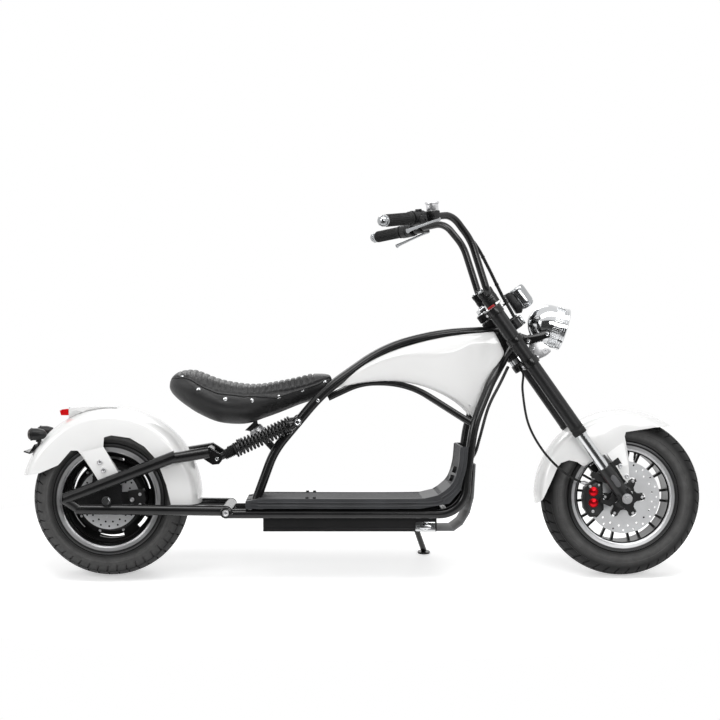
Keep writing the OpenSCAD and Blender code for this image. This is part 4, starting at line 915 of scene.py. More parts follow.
motor_ribs = ring_of(radial_rib(60, 98, 56, 1.6, 2.6), 24, cast_black)
motor_ribs_left = moved(ring_of(radial_rib(60, 98, 56, 1.6, 2.6), 24, cast_black), Matrix.Scale(-1, 4, (0, 1, 0)))
rim_step = wheel_turned([(-66, 136.5), (-70, 131), (-66, 128), (-60, 136)], 96)
rim_step_2 = moved(rim_step.copy(), Matrix.Scale(-1, 4, (0, 1, 0)))
finish_piece("motor_ribs", join(motor_ribs, motor_ribs_left, rim_step, rim_step_2), REAR_WHEEL, "rear_wheel",
             cast_black)
wheel_screw_spots = []
for k in range(9):
    a = math.radians(40 * k + 12)
    for way in (-1, 1):
        wheel_screw_spots.append(((104 * math.cos(a), way * 49, 104 * math.sin(a)), (0, way, 0), 4.2))
for k in range(6):
    a = math.radians(60 * k + 20)
    wheel_screw_spots.append(((52 * math.cos(a), -84.2, 52 * math.sin(a)), (0, -1, 0), 5.0))
finish_piece("motor_screws", set_on(cap_screw(), wheel_screw_spots, zinc), REAR_WHEEL, "rear_wheel", zinc)
valve = join(moved(lathe([(0, 30), (2.2, 30), (2.6, 20), (3.6, 19), (3.6, 6), (4.6, 0), (4.6, -4), (0, -4)], 14, False),
                   aimed((0, -58, 136), (0, -0.7, -0.7))))
finish_piece("rear_valve", valve, REAR_WHEEL @ turn(115, "Y"), "rear_wheel", grip_rubber)
axle_caps = set_on(hex_nut(), [((0, -157, 0), (0, -1, 0), 11), ((0, 157, 0), (0, 1, 0), 11)], chrome)
finish_piece("rear_axle_nuts", axle_caps, REAR_WHEEL, "frame", chrome)
caliper_screws = set_on(cap_screw(), [((96, -110, 16), (0, -1, 0), 5), ((96, -110, -16), (0, -1, 0), 5),
                                      ((72, -110, 0), (0, -1, 0), 7)], zinc)
finish_piece("rear_caliper_screws", caliper_screws, REAR_WHEEL, "frame", zinc)

# Rear fender: a deep moulded shell, gloss white, cut away round the wheel with a strut on each side that is
# screwed to the swingarm's tab. A flat pod on its top carries the tail light.


def smooth_copy(node, angle=32):
    """A CAD node's mesh with its loose triangles joined, in metres, shaded smooth."""
    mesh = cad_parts[node].data.copy()
    bm = bmesh.new()
    bm.from_mesh(mesh)
    bmesh.ops.remove_doubles(bm, verts=bm.verts, dist=0.00002)
    bm.to_mesh(mesh)
    bm.free()
    mesh.polygons.foreach_set("use_smooth", [True] * len(mesh.polygons))
    mesh.set_sharp_from_angle(angle=math.radians(angle))
    return mesh


def dress_copy(name, node, body, material, angle=32):
    mesh = smooth_copy(node, angle)
    mesh.materials.clear()
    mesh.materials.append(material)
    obj = bpy.data.objects.new(name, mesh)
    bpy.context.scene.collection.objects.link(obj)
    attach(obj, body)
    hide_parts(node)
    return obj


dress_copy("rear_fender_shell", "rear_fender", "frame", gloss_white, 38)
strut = plate([(-80, 384), (-12, 400), (33, 322), (30, 318), (-22, 295), (-27, 297)], -130, -127, 1.0)
finish_piece("rear_fender_struts", both_sides(strut), Matrix.Identity(4), "frame", gloss_white)
fender_screws = set_on(cap_screw(), both_ways([(-22.6, 130, 354, 8), (-11.2, 130, 330, 8)]), zinc)
finish_piece("rear_fender_screws", fender_screws, Matrix.Identity(4), "frame", zinc)

# Tail light and indicators: a red lens closes the pod's rear end, and two bullet lamps on stalks stand beside
# the fender with smoked lenses. The number plate bracket is bare.
tail_bulb = moved(lathe([(0, 3), (14, 2.6), (15, 0), (15, -2), (0, -2)], 24, False), at(-130.5, 0, 262),
                  turn(-90, "Y"))
finish_piece("tail_light_bulb", tail_bulb, REAR_WHEEL, "frame", chrome)
bullet_body = lathe([(0, 58), (8, 55), (14, 48), (17.4, 36), (18.4, 30), (18.4, 14), (19.4, 13), (19.4, 9),
                     (17.0, 8), (0, 8)], 32, False)
bullet_lens = lathe([(0, -0.5), (8, 0), (13, 2), (16.4, 6), (17, 9), (0, 9)], 32, False)
indicator_at = [(-246, way * 88, 436) for way in (-1, 1)]
bodies = join(*[moved(bullet_body.copy(), at(*p), turn(90, "Y")) for p in indicator_at])
lenses = join(*[moved(bullet_lens.copy(), at(*p), turn(90, "Y")) for p in indicator_at])
stalks = join(*[tube([Vector((-214, p[1] * 0.93, 432)), Vector((-213, p[1] * 0.92, 412)),
                      Vector((-214, p[1] * 0.9, 400)), Vector((-212, p[1] * 0.86, 386))], 5.2, 12)
                for p in indicator_at])
collars = join(*[moved(lathe([(6, 0), (9, 1), (9, 6), (6.6, 9), (5, 9), (5, 0)], 20), at(-214, p[1] * 0.925, 412))
                 for p in indicator_at])
indicator = finish_piece("indicator_bodies", join(bodies, stalks, collars), Matrix.Identity(4), "frame", satin_black)
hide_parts("rear_indicators")
smoked = lens("smoked_lens", (0.12, 0.1, 0.09))
finish_piece("indicator_lenses", lenses, Matrix.Identity(4), "frame", smoked)

# Shocks: black coil springs of round wire on each side, with a ribbed rubber boot at the lower end, plated
# collars and black eyes with rubber bushes. They run from the swingarm to the seat tubes.
SHOCK_LOW, SHOCK_HIGH = Vector((329, 114, 364)), Vector((571, 114, 474))
SHOCK = aimed(SHOCK_LOW, SHOCK_HIGH - SHOCK_LOW)
SHOCK_LEN = (SHOCK_HIGH - SHOCK_LOW).length
spring_black = black_paint("spring_black_paint", 0.006, 0.2, 0.006)


def coil(r, wire, low, high, turns, per_turn=30, sides=9):
    points = []
    flat = 0.7
    for i in range(int(turns * per_turn) + 1):
        t = i / per_turn
        if t < flat:
            z = low + wire + t * 2
        elif t > turns - flat:
            z = high - wire - (turns - t) * 2
        else:
            z = low + wire + flat * 2 + (high - low - 2 * wire - flat * 4) * (t - flat) / (turns - 2 * flat)
        a = 2 * math.pi * t
        points.append(Vector((r * math.cos(a), r * math.sin(a), z)))
    return tube(points, wire, sides)


spring = moved(coil(19.0, 3.8, 65.3, SHOCK_LEN - 32.3, 15), SHOCK)
springs = finish_piece("shock_coils", both_sides(spring), Matrix.Identity(4), "frame", spring_black, 60)
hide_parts("shock_springs")
boot_profile = [(0, 24), (12, 24)]
for k in range(7):
    boot_profile += [(15.5, 27 + k * 5), (12.5, 29.5 + k * 5)]
boot_profile += [(14, 60), (22.8, 60), (22.8, 64.8), (12, 65), (0, 65)]
boots = moved(lathe(boot_profile, 30, False), SHOCK)
finish_piece("shock_boots", both_sides(boots), Matrix.Identity(4), "frame", grip_rubber)
eye = lathe([(7.4, -11.4), (9.5, -11.6), (10.5, -10.8), (15.4, -10.6), (15.4, 10.6), (10.5, 10.8), (9.5, 11.6),
             (7.4, 11.4)], 32)
eyes = join(moved(eye.copy(), Matrix.Translation(SHOCK_LOW), turn(90, "X")),
            moved(eye, Matrix.Translation(SHOCK_HIGH), turn(90, "X")))
stem = moved(lathe([(0, 62), (8.2, 62), (8.2, SHOCK_LEN - 30), (0, SHOCK_LEN - 30)], 24, False), SHOCK)
cup = moved(lathe([(0, SHOCK_LEN - 32), (23, SHOCK_LEN - 32), (23.2, SHOCK_LEN - 26), (17, SHOCK_LEN - 24),
                   (12, SHOCK_LEN - 8), (0, SHOCK_LEN - 8)], 32, False), SHOCK)
neck = moved(lathe([(0, 6), (10.4, 6), (10.4, 26), (0, 26)], 24, False), SHOCK)
bodies = finish_piece("shock_dampers", both_sides(join(eyes, cup, neck)), Matrix.Identity(4), "frame", gloss_black)
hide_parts("shock_bodies")
finish_piece("shock_rods", both_sides(stem), Matrix.Identity(4), "frame", spring_black)
shock_rings = set_on(lathe([(7.2, 0), (11, 0), (11.6, 1), (11.6, 2.2), (7.2, 2.6)], 32),
                     both_ways([(571, 125.4, 474, 1.0)]), chrome)
finish_piece("shock_washers", shock_rings, Matrix.Identity(4), "frame", chrome)

# Seat damper: a rubber cone under the seat's tail on a knurled plated collar, screwed to the frame's bracket.
DAMPER = aimed((501, 0, 384), (424 - 501, 0, 465 - 384))
DAMPER_LEN = math.hypot(77, 81)
collar = lathe([(0, 62), (19, 64), (21.5, 67), (21.5, 90), (19, 93), (0, 93)], 40, False)
knurl = ring_of(plate([(20.9, 68), (22.8, 69), (22.8, 88), (20.9, 89)], -0.9, 0.9), 36, zinc, axis="Z")
finish_piece("damper_collar", join(collar, knurl), DAMPER, "frame", zinc)
cone = join(lathe([(0, 93), (17, 93), (18, 97), (23, DAMPER_LEN - 8), (26.5, DAMPER_LEN - 4),
                   (0, DAMPER_LEN - 4)], 36, False),
            lathe([(0, -3), (9.4, -3), (11, 0), (11, 62), (0, 62)], 24, False))
cone_obj = finish_piece("damper_cone", cone, DAMPER, "frame", grip_rubber)
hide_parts("seat_damper")

# Seat: a steel pan with foam under black leather. The top is tuck-and-roll, with channels across it between
# two long piped seams; the skirt is plain, and seven plated studs hold it on each side.


def leather():
    paint = Paint("black_leather", Specular_IOR_Level=0.4)
    spot = paint.place()
    cells = paint.node("ShaderNodeTexVoronoi", {"feature": "DISTANCE_TO_EDGE"}, {"Vector": spot, "Scale": 420.0})
    fine = paint.noise(spot, 900.0, 2.0)
    cloud = paint.noise(spot, 11.0, 4.0)
    paint.to("Base Color", paint.ramp(cloud, (0.3, (0.009, 0.009, 0.0095)), (0.75, (0.018, 0.018, 0.0185))))
    paint.to("Roughness", 0.34 + cloud * 0.16 + fine * 0.06)
    grain = paint.node("ShaderNodeMath", {"operation": "MINIMUM"}, {0: cells * 8.0, 1: 0.5})
    paint.bump(grain + fine * 0.25, 0.00035, 0.55)
    return paint.material


leather_black = leather()
# Station: x, low z, high z, half width
SEAT_STATIONS = [
    (180, 572, 590, 34), (187, 560, 616, 72), (208, 538, 632, 106), (239, 514, 637, 128), (270, 494, 626, 138),
    (331, 468, 601, 144), (408, 465, 587, 138), (460, 482, 587, 118), (516, 502, 596, 92), (578, 527, 609, 74),
    (639, 546, 626, 64), (664, 560, 627, 54), (674, 574, 614, 34)]


def seat_section(x, low, high, half, count=40):
    """Ring of a seat station: round shoulders, an undercut skirt and a nearly flat top."""
    ring = []
    for k in range(count):
        a = 2 * math.pi * k / count
        c, s = math.cos(a), math.sin(a)
        y = half * math.copysign(abs(c) ** 0.62, c)
        if s < 0:
            y *= 1 - 0.28 * abs(s) ** 1.5
        z = (low + high) / 2 + (high - low) / 2 * math.copysign(abs(s) ** 0.78, s)
        ring.append(Vector((x, y, z)))
    return ring


def seat_body(shrink):
    bm = bmesh.new()
    curve = []
    for i in range(len(SEAT_STATIONS) - 1):
        a, b = SEAT_STATIONS[i], SEAT_STATIONS[i + 1]
        p, q = SEAT_STATIONS[max(i - 1, 0)], SEAT_STATIONS[min(i + 2, len(SEAT_STATIONS) - 1)]
        for s in range(4):
            t = s / 4
            curve.append([0.5 * (2 * b0 + (c0 - a0) * t + (2 * a0 - 5 * b0 + 4 * c0 - d0) * t * t
                                 + (3 * b0 - a0 - 3 * c0 + d0) * t ** 3)
                          for a0, b0, c0, d0 in zip(p, a, b, q)])
    curve.append(list(SEAT_STATIONS[-1]))
    rows = [[bm.verts.new(v) for v in seat_section(x, low + shrink, high - shrink, half - shrink)]
            for x, low, high, half in curve]
    n = len(rows[0])
    for a, b in zip(rows, rows[1:]):
        for k in range(n):
            bm.faces.new([a[k], a[(k + 1) % n], b[(k + 1) % n], b[k]])
    for row in (rows[0], rows[-1]):
        centre = bm.verts.new(sum((v.co for v in row), Vector()) / n)
        for k in range(n):
            bm.faces.new([row[k], row[(k + 1) % n], centre])
    return to_mesh(bm)


def seat_line(x):
    """Low z, high z and half width of the seat at x."""
    s = SEAT_STATIONS
    for a, b in zip(s, s[1:]):
        if x <= b[0]:
            t = max(0.0, (x - a[0]) / (b[0] - a[0]))
            return [a[i] + (b[i] - a[i]) * t for i in (1, 2, 3)]
    return list(s[-1][1:])


seat_mesh = seat_body(5.0)
seat_mesh.transform(PARKED)
seat = bpy.data.objects.new("seat_leather", seat_mesh)
bpy.context.scene.collection.objects.link(seat)
remesh = seat.modifiers.new("remesh", "REMESH")
remesh.mode = "VOXEL"
remesh.voxel_size = 0.005
fine_seat = bpy.data.meshes.new_from_object(seat.evaluated_get(bpy.context.evaluated_depsgraph_get()))
seat.modifiers.clear()
seat.data = fine_seat
seat_rest = [v.co.copy() for v in fine_seat.vertices]
cloth = seat.modifiers.new("foam", "CLOTH")
cloth.settings.use_pressure = True
cloth.settings.uniform_pressure_force = 4
cloth.settings.quality = 5
cloth.settings.mass = 0.4
cloth.settings.tension_stiffness = 15
cloth.settings.compression_stiffness = 15
cloth.settings.effector_weights.gravity = 0
scene = bpy.context.scene
for step in range(1, 21):
    scene.frame_set(step)
swollen = bpy.data.meshes.new_from_object(seat.evaluated_get(bpy.context.evaluated_depsgraph_get()))
scene.frame_set(1)
seat.modifiers.clear()
SWELL = 0.007
for v, rest in zip(swollen.vertices, seat_rest):
    step = v.co - rest
    if step.length > SWELL:
        step *= SWELL / step.length
    v.co = rest + step
seat.data = swollen

# Seams and channels, pressed into the swollen leather: depth falls off either side of each sewn line.
UPRIGHT = PARKED.inverted()
seat.data.transform(UPRIGHT)
channels = [214 + 17.5 * k for k in range(24)]


def seam_depth(co):
    low, high, half = seat_line(co.x)
    share = abs(co.y) / max(half, 1)
    up = (co.z - low) / max(high - low, 1)
    depth = 0.0
    if up > 0.55:
        edge = 0.84
        near = math.exp(-((share - edge) / 0.035) ** 2)
        depth += 5.0 * near
        if share < edge:
            gap = min(abs(co.x - c) for c in channels)
            fade = min(1.0, max(0.0, (edge - share) / 0.12)) * min(1.0, max(0.0, (co.x - 200) / 16))
            depth += (5.0 * math.exp(-(gap / 2.6) ** 2) - 2.0 * math.cos(math.pi * min(gap, 8.75) / 8.75) * 0.0) * fade
    return depth


bm = bmesh.new()
bm.from_mesh(seat.data)
tops = [f for f in bm.faces if f.normal.z > 0.25]
edges = {e for f in tops for e in f.edges}
bmesh.ops.subdivide_edges(bm, edges=list(edges), cuts=1, use_grid_fill=True)
bm.normal_update()
for v in bm.verts:
    v.co -= v.normal * seam_depth(v.co)
bmesh.ops.smooth_vert(bm, verts=bm.verts, factor=0.4, use_axis_x=True, use_axis_y=True, use_axis_z=True)
bmesh.ops.recalc_face_normals(bm, faces=bm.faces)
bm.to_mesh(seat.data)
bm.free()
seat_final = seat.data.copy()
bm = bmesh.new()
bm.from_mesh(seat_final)
seat_tree = BVHTree.FromBMesh(bm)
bm.free()
bpy.data.objects.remove(seat)
seat = finish_piece("seat_leather", seat_final, Matrix.Identity(4), "frame", leather_black, 0)
seat.data.polygons.foreach_set("use_smooth", [True] * len(seat.data.polygons))
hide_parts("seat")


def on_seat(x, y, z, way):
    """Point and normal where a ray from outside meets the seat."""
    hit, normal, _, _ = seat_tree.ray_cast(Vector((x, y, z)), Vector(way))
    return hit, normal


piping, studs = [], []
for way in (-1, 1):
    line = []
    for i in range(60):
        x = 196 + i * 7.9
        low, high, half = seat_line(x)
        hit, normal = on_seat(x, way * half * 0.86, 760, (0, 0, -1))
        if hit:
            line.append(hit + normal * 1.4)
    piping.append(tube(line, 2.6, 10))
    for px, py in ((181.3, 376.9), (198.5, 389), (225.1, 399.2), (252.3, 400.5), (279, 397.2), (302.8, 390.5),
                   (325.3, 381.7)):
        x, z = (px - 112.5) * 3.08, (574.5 - py) * 3.08
        low, high, half = seat_line(x)
        near = (VIEW_D - half) / VIEW_D
        x = VIEW_AT[0] + (x - VIEW_AT[0]) * near
        z = VIEW_AT[1] + (z - VIEW_AT[1]) * near
        hit, normal = on_seat(x, way * 400, z, (0, -way, 0))
        if hit:
            studs.append((tuple(hit - normal * 0.6), tuple(normal), 6.2))
finish_piece("seat_piping", join(*piping), Matrix.Identity(4), "frame", leather_black)
stud = lathe([(0, 0.5), (0.3, 0.47), (0.62, 0.34), (0.86, 0.14), (1.0, 0.05), (1.0, -0.2), (0, -0.2)], 22, False)
finish_piece("seat_studs", set_on(stud, studs, chrome), Matrix.Identity(4), "frame", chrome)

# Fork: black outer tubes with a pinch-bolted clamp at each end, polished sliding tubes and cast lowers with an
# oval pad. Rubber dust seals close the outer tubes' lower ends.
FORK_Y = 106.0
seal_profile = [(16.9, 236), (20, 236), (21.6, 240), (21.6, 250), (19.8, 254), (21.4, 258), (21.6, 264), (16.9, 264)]
seals = join(*[moved(lathe(seal_profile, 36), at(0, way * FORK_Y, 0)) for way in (-1, 1)])
finish_piece("fork_seals", seals, FORK, "steering", grip_rubber)
caps = join(*[moved(lathe([(0, 706), (7, 706), (8, 704), (8, 702.5), (17, 702.5), (19.5, 701), (19.5, 700), (0, 700)],
                          32, False), at(0, way * FORK_Y, 0)) for way in (-1, 1)])
finish_piece("fork_caps", caps, FORK, "steering", zinc)
pads = []
for way in (-1, 1):
    pad = [(3 + 9 * math.cos(a) * 0.9, 62 + 9 * math.sin(a) + (12 if math.sin(a) > 0 else -12))
           for a in [2 * math.pi * k / 28 for k in range(28)]]
    pads.append(plate(pad, way * 126.0 - 2.5, way * 126.0 + 2.5, 0.8))
pad_grey = moulded("grey_pad", (0.09, 0.09, 0.095), 0.4)
finish_piece("fork_pads", join(*pads), FORK, "steering", pad_grey)
fork_screws = []
for w in (501.5, 688.5):
    for way in (-1, 1):
        for u in (-14, 14):
            fork_screws.append(((26.6, way * (FORK_Y + u * 0.4), w), (1, 0, 0), 3.6))
            fork_screws.append(((-26.6, way * (FORK_Y + u * 0.4), w), (-1, 0, 0), 3.6))
finish_piece("clamp_screws", set_on(cap_screw(), fork_screws, zinc), FORK, "steering", zinc)
mount_screws = [((-42, -84.5, 104), (0, -1, 0), 6.5), ((-58, -84.5, 30), (0, -1, 0), 6.0)]
finish_piece("caliper_mount_screws", set_on(cap_screw(), mount_screws, chrome), FORK, "steering", chrome)
bm = bmesh.new()
strut_points = [(-26, 92, -103), (9, 100, -103), (12, 64, -103), (7, 46, -103), (-5, 57, -103), (-2, 168, -80.5),
                (-52, 132, -80.5)]
front = [bm.verts.new((x, y, z)) for x, z, y in strut_points]
back = [bm.verts.new((x, y + 3, z)) for x, z, y in strut_points]
for ring in ((0, 1, 2, 3, 4), (6, 5, 1, 0)):
    bm.faces.new([front[k] for k in ring])
    bm.faces.new([back[k] for k in reversed(ring)])
for a, b in ((1, 2), (2, 3), (3, 4), (4, 0), (0, 6), (6, 5), (5, 1)):
    bm.faces.new([front[a], front[b], back[b], back[a]])
finish_piece("front_fender_struts", both_sides(to_mesh(bm)), FRONT_WHEEL, "steering", gloss_white, 20)
fender_bolts = [((x, way * 103, z), (0, way, 0), 7) for x, z in ((-16, 97), (4, 66)) for way in (-1, 1)]
finish_piece("fender_strut_screws", set_on(cap_screw(), fender_bolts, zinc), FRONT_WHEEL, "steering", zinc)
finish_piece("front_axle_nuts", set_on(hex_nut(), [((0, -136, 0), (0, -1, 0), 12), ((0, 136, 0), (0, 1, 0), 12)],
                                       zinc), FRONT_WHEEL, "steering", zinc)
dress_copy("front_fender_shell", "front_fender", "steering", gloss_white, 38)

# Front brake: a black two-piston caliper with ribbed red caps, and a black carrier that is riveted to the
# drilled disc. The caliper's halves are held by long screws.
cap_ribs = ring_of(plate([(12.5, -1.5), (15, -1), (15, 1), (12.5, 1.5)], -88, -82.8), 18, red_anodised)
crown = lathe([(0, 88.5), (8, 88.5), (10, 87), (13, 86.5), (14, 84), (14, 82.5), (0, 82.5)], 30, False)
caps = []
for z in (-16, 18):
    caps.append(moved(cap_ribs.copy(), at(-94, 0, z)))
    caps.append(moved(crown.copy(), at(-94, 0, z), turn(90, "X")))
cap_obj = finish_piece("caliper_red_caps", join(*caps), FRONT_WHEEL, "steering", red_anodised)
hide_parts("caliper_caps")
halves = plate([(-70, -46), (-72, 42), (-88, 46), (-112, 28), (-118, 0), (-114, -30), (-100, -52), (-84, -52)],
               -86, -81.5, 1.5)
finish_piece("caliper_rib", halves, FRONT_WHEEL, "steering", cast_black)
caliper_bolts = [((-104, -86, 34), (0, -1, 0), 4.6), ((-96, -86, -42), (0, -1, 0), 4.6), ((-78, -86, 38), (0, -1, 0), 4.0)]
finish_piece("caliper_screws", set_on(cap_screw(), caliper_bolts, zinc), FRONT_WHEEL, "steering", zinc)
arm_outline = []
ARM_END = 62.5
for k in range(6):
    for da, r in ((-30, 38), (-17, 42), (-11, 56), (-6, ARM_END), (6, ARM_END), (11, 56), (17, 42)):
        a = math.radians(60 * k + da)
        arm_outline.append((r * math.cos(a), r * math.sin(a)))
spider = plate(arm_outline, -69.5, -66.2, 0.6)
hub_cone = moved(lathe([(9, 48), (26, 48), (27, 60), (34, 66), (34, 71), (22, 74), (20, 78), (9, 78)], 40),
                 turn(90, "X"))
finish_piece("front_disc_carrier", join(spider, hub_cone), FRONT_WHEEL, "front_wheel", cast_black)
rivets = [((56 * math.cos(math.radians(60 * k)), -69.6, 56 * math.sin(math.radians(60 * k))), (0, -1, 0), 4.6)
          for k in range(6)]
rivets += [((28 * math.cos(math.radians(60 * k + 30)), -71.2, 28 * math.sin(math.radians(60 * k + 30))), (0, -1, 0), 3.6)
           for k in range(6)]
finish_piece("front_disc_rivets", set_on(cap_screw(), rivets, zinc), FRONT_WHEEL, "front_wheel", zinc)
valve = moved(lathe([(0, 26), (2.2, 26), (2.6, 18), (3.6, 17), (3.6, 5), (4.6, 0), (4.6, -4), (0, -4)], 14, False),
              aimed((0, -30, 137), (0, -0.6, -0.8)))
finish_piece("front_valve", valve, FRONT_WHEEL @ turn(18, "Y"), "front_wheel", grip_rubber)

# Handlebar controls: ribbed rubber grips with chromed ends, switch housings with small buttons, brake levers
# on plated perches and round reservoirs with screwed lids.
BAR_END, BAR_CORNER = Vector((-142, 360, 1097)), Vector((55, 163, 1000))
along = (BAR_CORNER - BAR_END).normalized()
up = Vector((math.sin(RAKE), 0, math.cos(RAKE)))
up = (up - along * up.dot(along)).normalized()
forward = up.cross(along)
BAR = Matrix((forward, up, along)).transposed().to_4x4()
BAR.translation = BAR_END
grip_profile = [(11.6, 15), (15, 15), (17.4, 16)]
for k in range(14):
    z = 16 + k * 6.6
    grip_profile += [(16.6, z), (17.6, z + 1.2), (17.6, z + 4.4), (16.6, z + 5.6)]
grip_profile += [(17.4, 109), (20, 111), (20.4, 114), (20, 118), (17, 119), (11.6, 119)]
grips = moved(lathe(grip_profile, 40), Matrix.Identity(4))
grip_nubs = ring_of(plate([(16.4, 17), (18.3, 18), (18.3, 102), (16.4, 103)], -0.8, 0.8), 22, grip_rubber, axis="Z")
grip = moved(join(grips, grip_nubs), BAR)
grip_obj = finish_piece("grips_ribbed", both_sides(grip), FORK, "steering", grip_rubber)
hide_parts("grips")
end_cap = lathe([(0, -9), (7, -8.6), (11.5, -6.5), (14.6, -2), (15.8, 4), (15.8, 6), (14.4, 7), (14.4, 10), (17, 11),
                 (17, 15), (0, 15)], 32, False)
end_slots = ring_of(plate([(14.8, -3), (16.9, 2), (16.9, 9), (14.8, 9)], -1.6, 1.6), 8, dark_chrome, axis="Z")
finish_piece("grip_end_caps", both_sides(moved(join(end_cap, end_slots), BAR)), FORK, "steering", dark_chrome)

housing = lathe([(11.6, 122.5), (20, 122.5), (22, 124), (22.4, 143), (20.6, 144.2), (20.6, 145.8), (22.4, 147),
                 (22, 166), (20, 168), (11.6, 168)], 40)
pod = plate([(4, 126), (24, 128), (30, 134), (30, 158), (24, 164), (4, 165)], -16, 6, 2.5)
lug = plate([(-4, 178), (-2, 202), (38, 204), (42, 198), (42, 182), (36, 176)], -13, -1, 2.0)
perch = lathe([(11.6, 176.4), (16.5, 176.4), (17.2, 178), (17.2, 202), (16.5, 203.8), (11.6, 203.8)], 36)
body = plate([(2, 178), (2, 203), (40, 203), (40, 178)], -4, 17, 3.0)
controls = moved(join(housing, pod, lug, perch, body), BAR)
control_obj = finish_piece("switch_housings", both_sides(controls), FORK, "steering", satin_black)
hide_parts("bar_controls")
buttons = []
for dz in (0, 13):
    buttons.append(moved(lathe([(0, 25.5), (4.2, 25.3), (5, 24), (5, 20), (0, 20)], 20, False), at(8, 0, 139 + dz),
                         turn(-90, "X")))
    buttons.append(moved(lathe([(0, 34), (3.4, 34), (4, 33), (4, 28), (0, 28)], 18, False), at(0, -6, 138 + dz),
                         turn(90, "Y")))
red_button = moulded("red_button", (0.35, 0.01, 0.012), 0.35)
finish_piece("switch_buttons", both_sides(moved(join(*buttons), BAR)), FORK, "steering", satin_black)
reservoir = moved(lathe([(0, 0), (17, 0), (18, 1.5), (18, 19), (19.5, 20), (21, 21), (21, 24.5), (20, 26), (0, 26.5)],
                        40, False), at(20, 17.3, 192), turn(-90, "X"))
lid_screws = set_on(cap_screw(), [((20 + 14 * math.cos(math.radians(120 * k)), 43.4,
                                    192 + 14 * math.sin(math.radians(120 * k))), (0, 1, 0), 2.4) for k in range(3)],
                    chrome)
window = moved(lathe([(0, 2), (5, 2), (6, 1), (6, -1), (0, -1)], 20, False), at(20, 27, 174.2), turn(180, "X"))
reservoirs = both_sides(moved(join(reservoir, lid_screws, window), BAR))
reservoir_obj = finish_piece("brake_reservoirs", reservoirs, FORK, "steering", zinc)
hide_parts("master_cylinders")
lever_line = smooth_path([(36, -8, 198), (46, -10, 190), (47, -14, 160), (44, -24, 110), (42, -32, 70), (43, -35, 58)], 8)
bm = bmesh.new()
rings = []
for i, p in enumerate(lever_line):
    way = (lever_line[min(i + 1, len(lever_line) - 1)] - lever_line[max(i - 1, 0)]).normalized()
    s = i / (len(lever_line) - 1)
    wide = 9.5 - 3.5 * math.sin(math.pi * min(1, s * 1.15)) + (1.5 if s > 0.93 else 0)
    thick = 4.2 if s < 0.94 else 5.4
    side_way = Vector((1, 0, 0)) - way * way.x
    side_way.normalize()
    other = way.cross(side_way)
    rings.append([bm.verts.new(p + other * wide * 0.62 * math.copysign(abs(math.cos(a)) ** 0.7, math.cos(a))
                               + side_way * thick * math.copysign(abs(math.sin(a)) ** 0.7, math.sin(a)))
                  for a in [2 * math.pi * k / 16 for k in range(16)]])
for low, high in zip(rings, rings[1:]):
    for k in range(16):
        bm.faces.new([low[k], low[(k + 1) % 16], high[(k + 1) % 16], high[k]])
bm.faces.new(rings[0])
bm.faces.new(rings[-1])
lever_obj = finish_piece("brake_levers", both_sides(moved(to_mesh(bm), BAR)), FORK, "steering", dark_chrome)
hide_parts("levers")
bar_screws = []
for z in (184, 197):
    p = BAR @ Vector((-17, -2, z))
    w = BAR.to_3x3() @ Vector((-1, 0, 0))
    bar_screws.append((tuple(p), tuple(w), 3.0))
    bar_screws.append(((p.x, -p.y, p.z), (w.x, -w.y, w.z), 3.0))
finish_piece("perch_screws", set_on(cap_screw(), bar_screws, zinc), FORK, "steering", zinc)
riser_screws = []
for way in (-1, 1):
    for u in (-5, 25):
        riser_screws.append(((u, way * (FORK_Y - 8), 759.5), (0, 0, 1), 4.6))
        riser_screws.append(((u, way * (FORK_Y + 6), 759.5), (0, 0, 1), 4.6))
finish_piece("riser_screws", set_on(cap_screw(), riser_screws, chrome), FORK, "steering", chrome)
stem_nut = moved(set_on(hex_nut(), [((0, 0, 701), (0, 0, 1), 19)], chrome), at(-20, 0, 0))
finish_piece("stem_nut", stem_nut, FORK, "steering", chrome)

# Fork yokes and bar risers: cast aluminium with rounded ends round the tubes, painted black. Each riser is a
# smooth oval collar with a red and white stripe round its foot.


def flat_hull(circles, count=40):
    """Outline round a few circles given as (u, y, r)."""
    points = [(u + r * math.cos(2 * math.pi * k / count), y + r * math.sin(2 * math.pi * k / count))
              for u, y, r in circles for k in range(count)]
    order = geometry.convex_hull_2d(points)
    return [points[i] for i in order]


def stack(outline, w0, w1, bevel):
    """Piece with an outline in the fork's cross-section, between two heights."""
    return moved(plate(outline, w0, w1, bevel), Matrix(((1, 0, 0, 0), (0, 0, 1, 0), (0, 1, 0, 0), (0, 0, 0, 1))))


yokes = []
for w0, w1 in ((489, 514), (676, 701)):
    yokes.append(stack(flat_hull([(0, -FORK_Y, 26.6), (0, FORK_Y, 26.6)]), w0, w1, 3.5))
    yokes.append(stack(flat_hull([(-20, 0, 27.6), (0, -30, 22), (0, 30, 22)]), w0 + 0.2, w1 - 0.2, 3.5))
yoke = finish_piece("fork_yokes", join(*yokes), FORK, "steering", gloss_black)
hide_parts("fork_clamps")


def oval(scale_u, scale_y, count=56):
    return [(9 + scale_u * math.copysign(abs(math.cos(a)) ** 0.75, math.cos(a)),
             105 + scale_y * math.copysign(abs(math.sin(a)) ** 0.75, math.sin(a)))
            for a in [2 * math.pi * k / count for k in range(count)]]


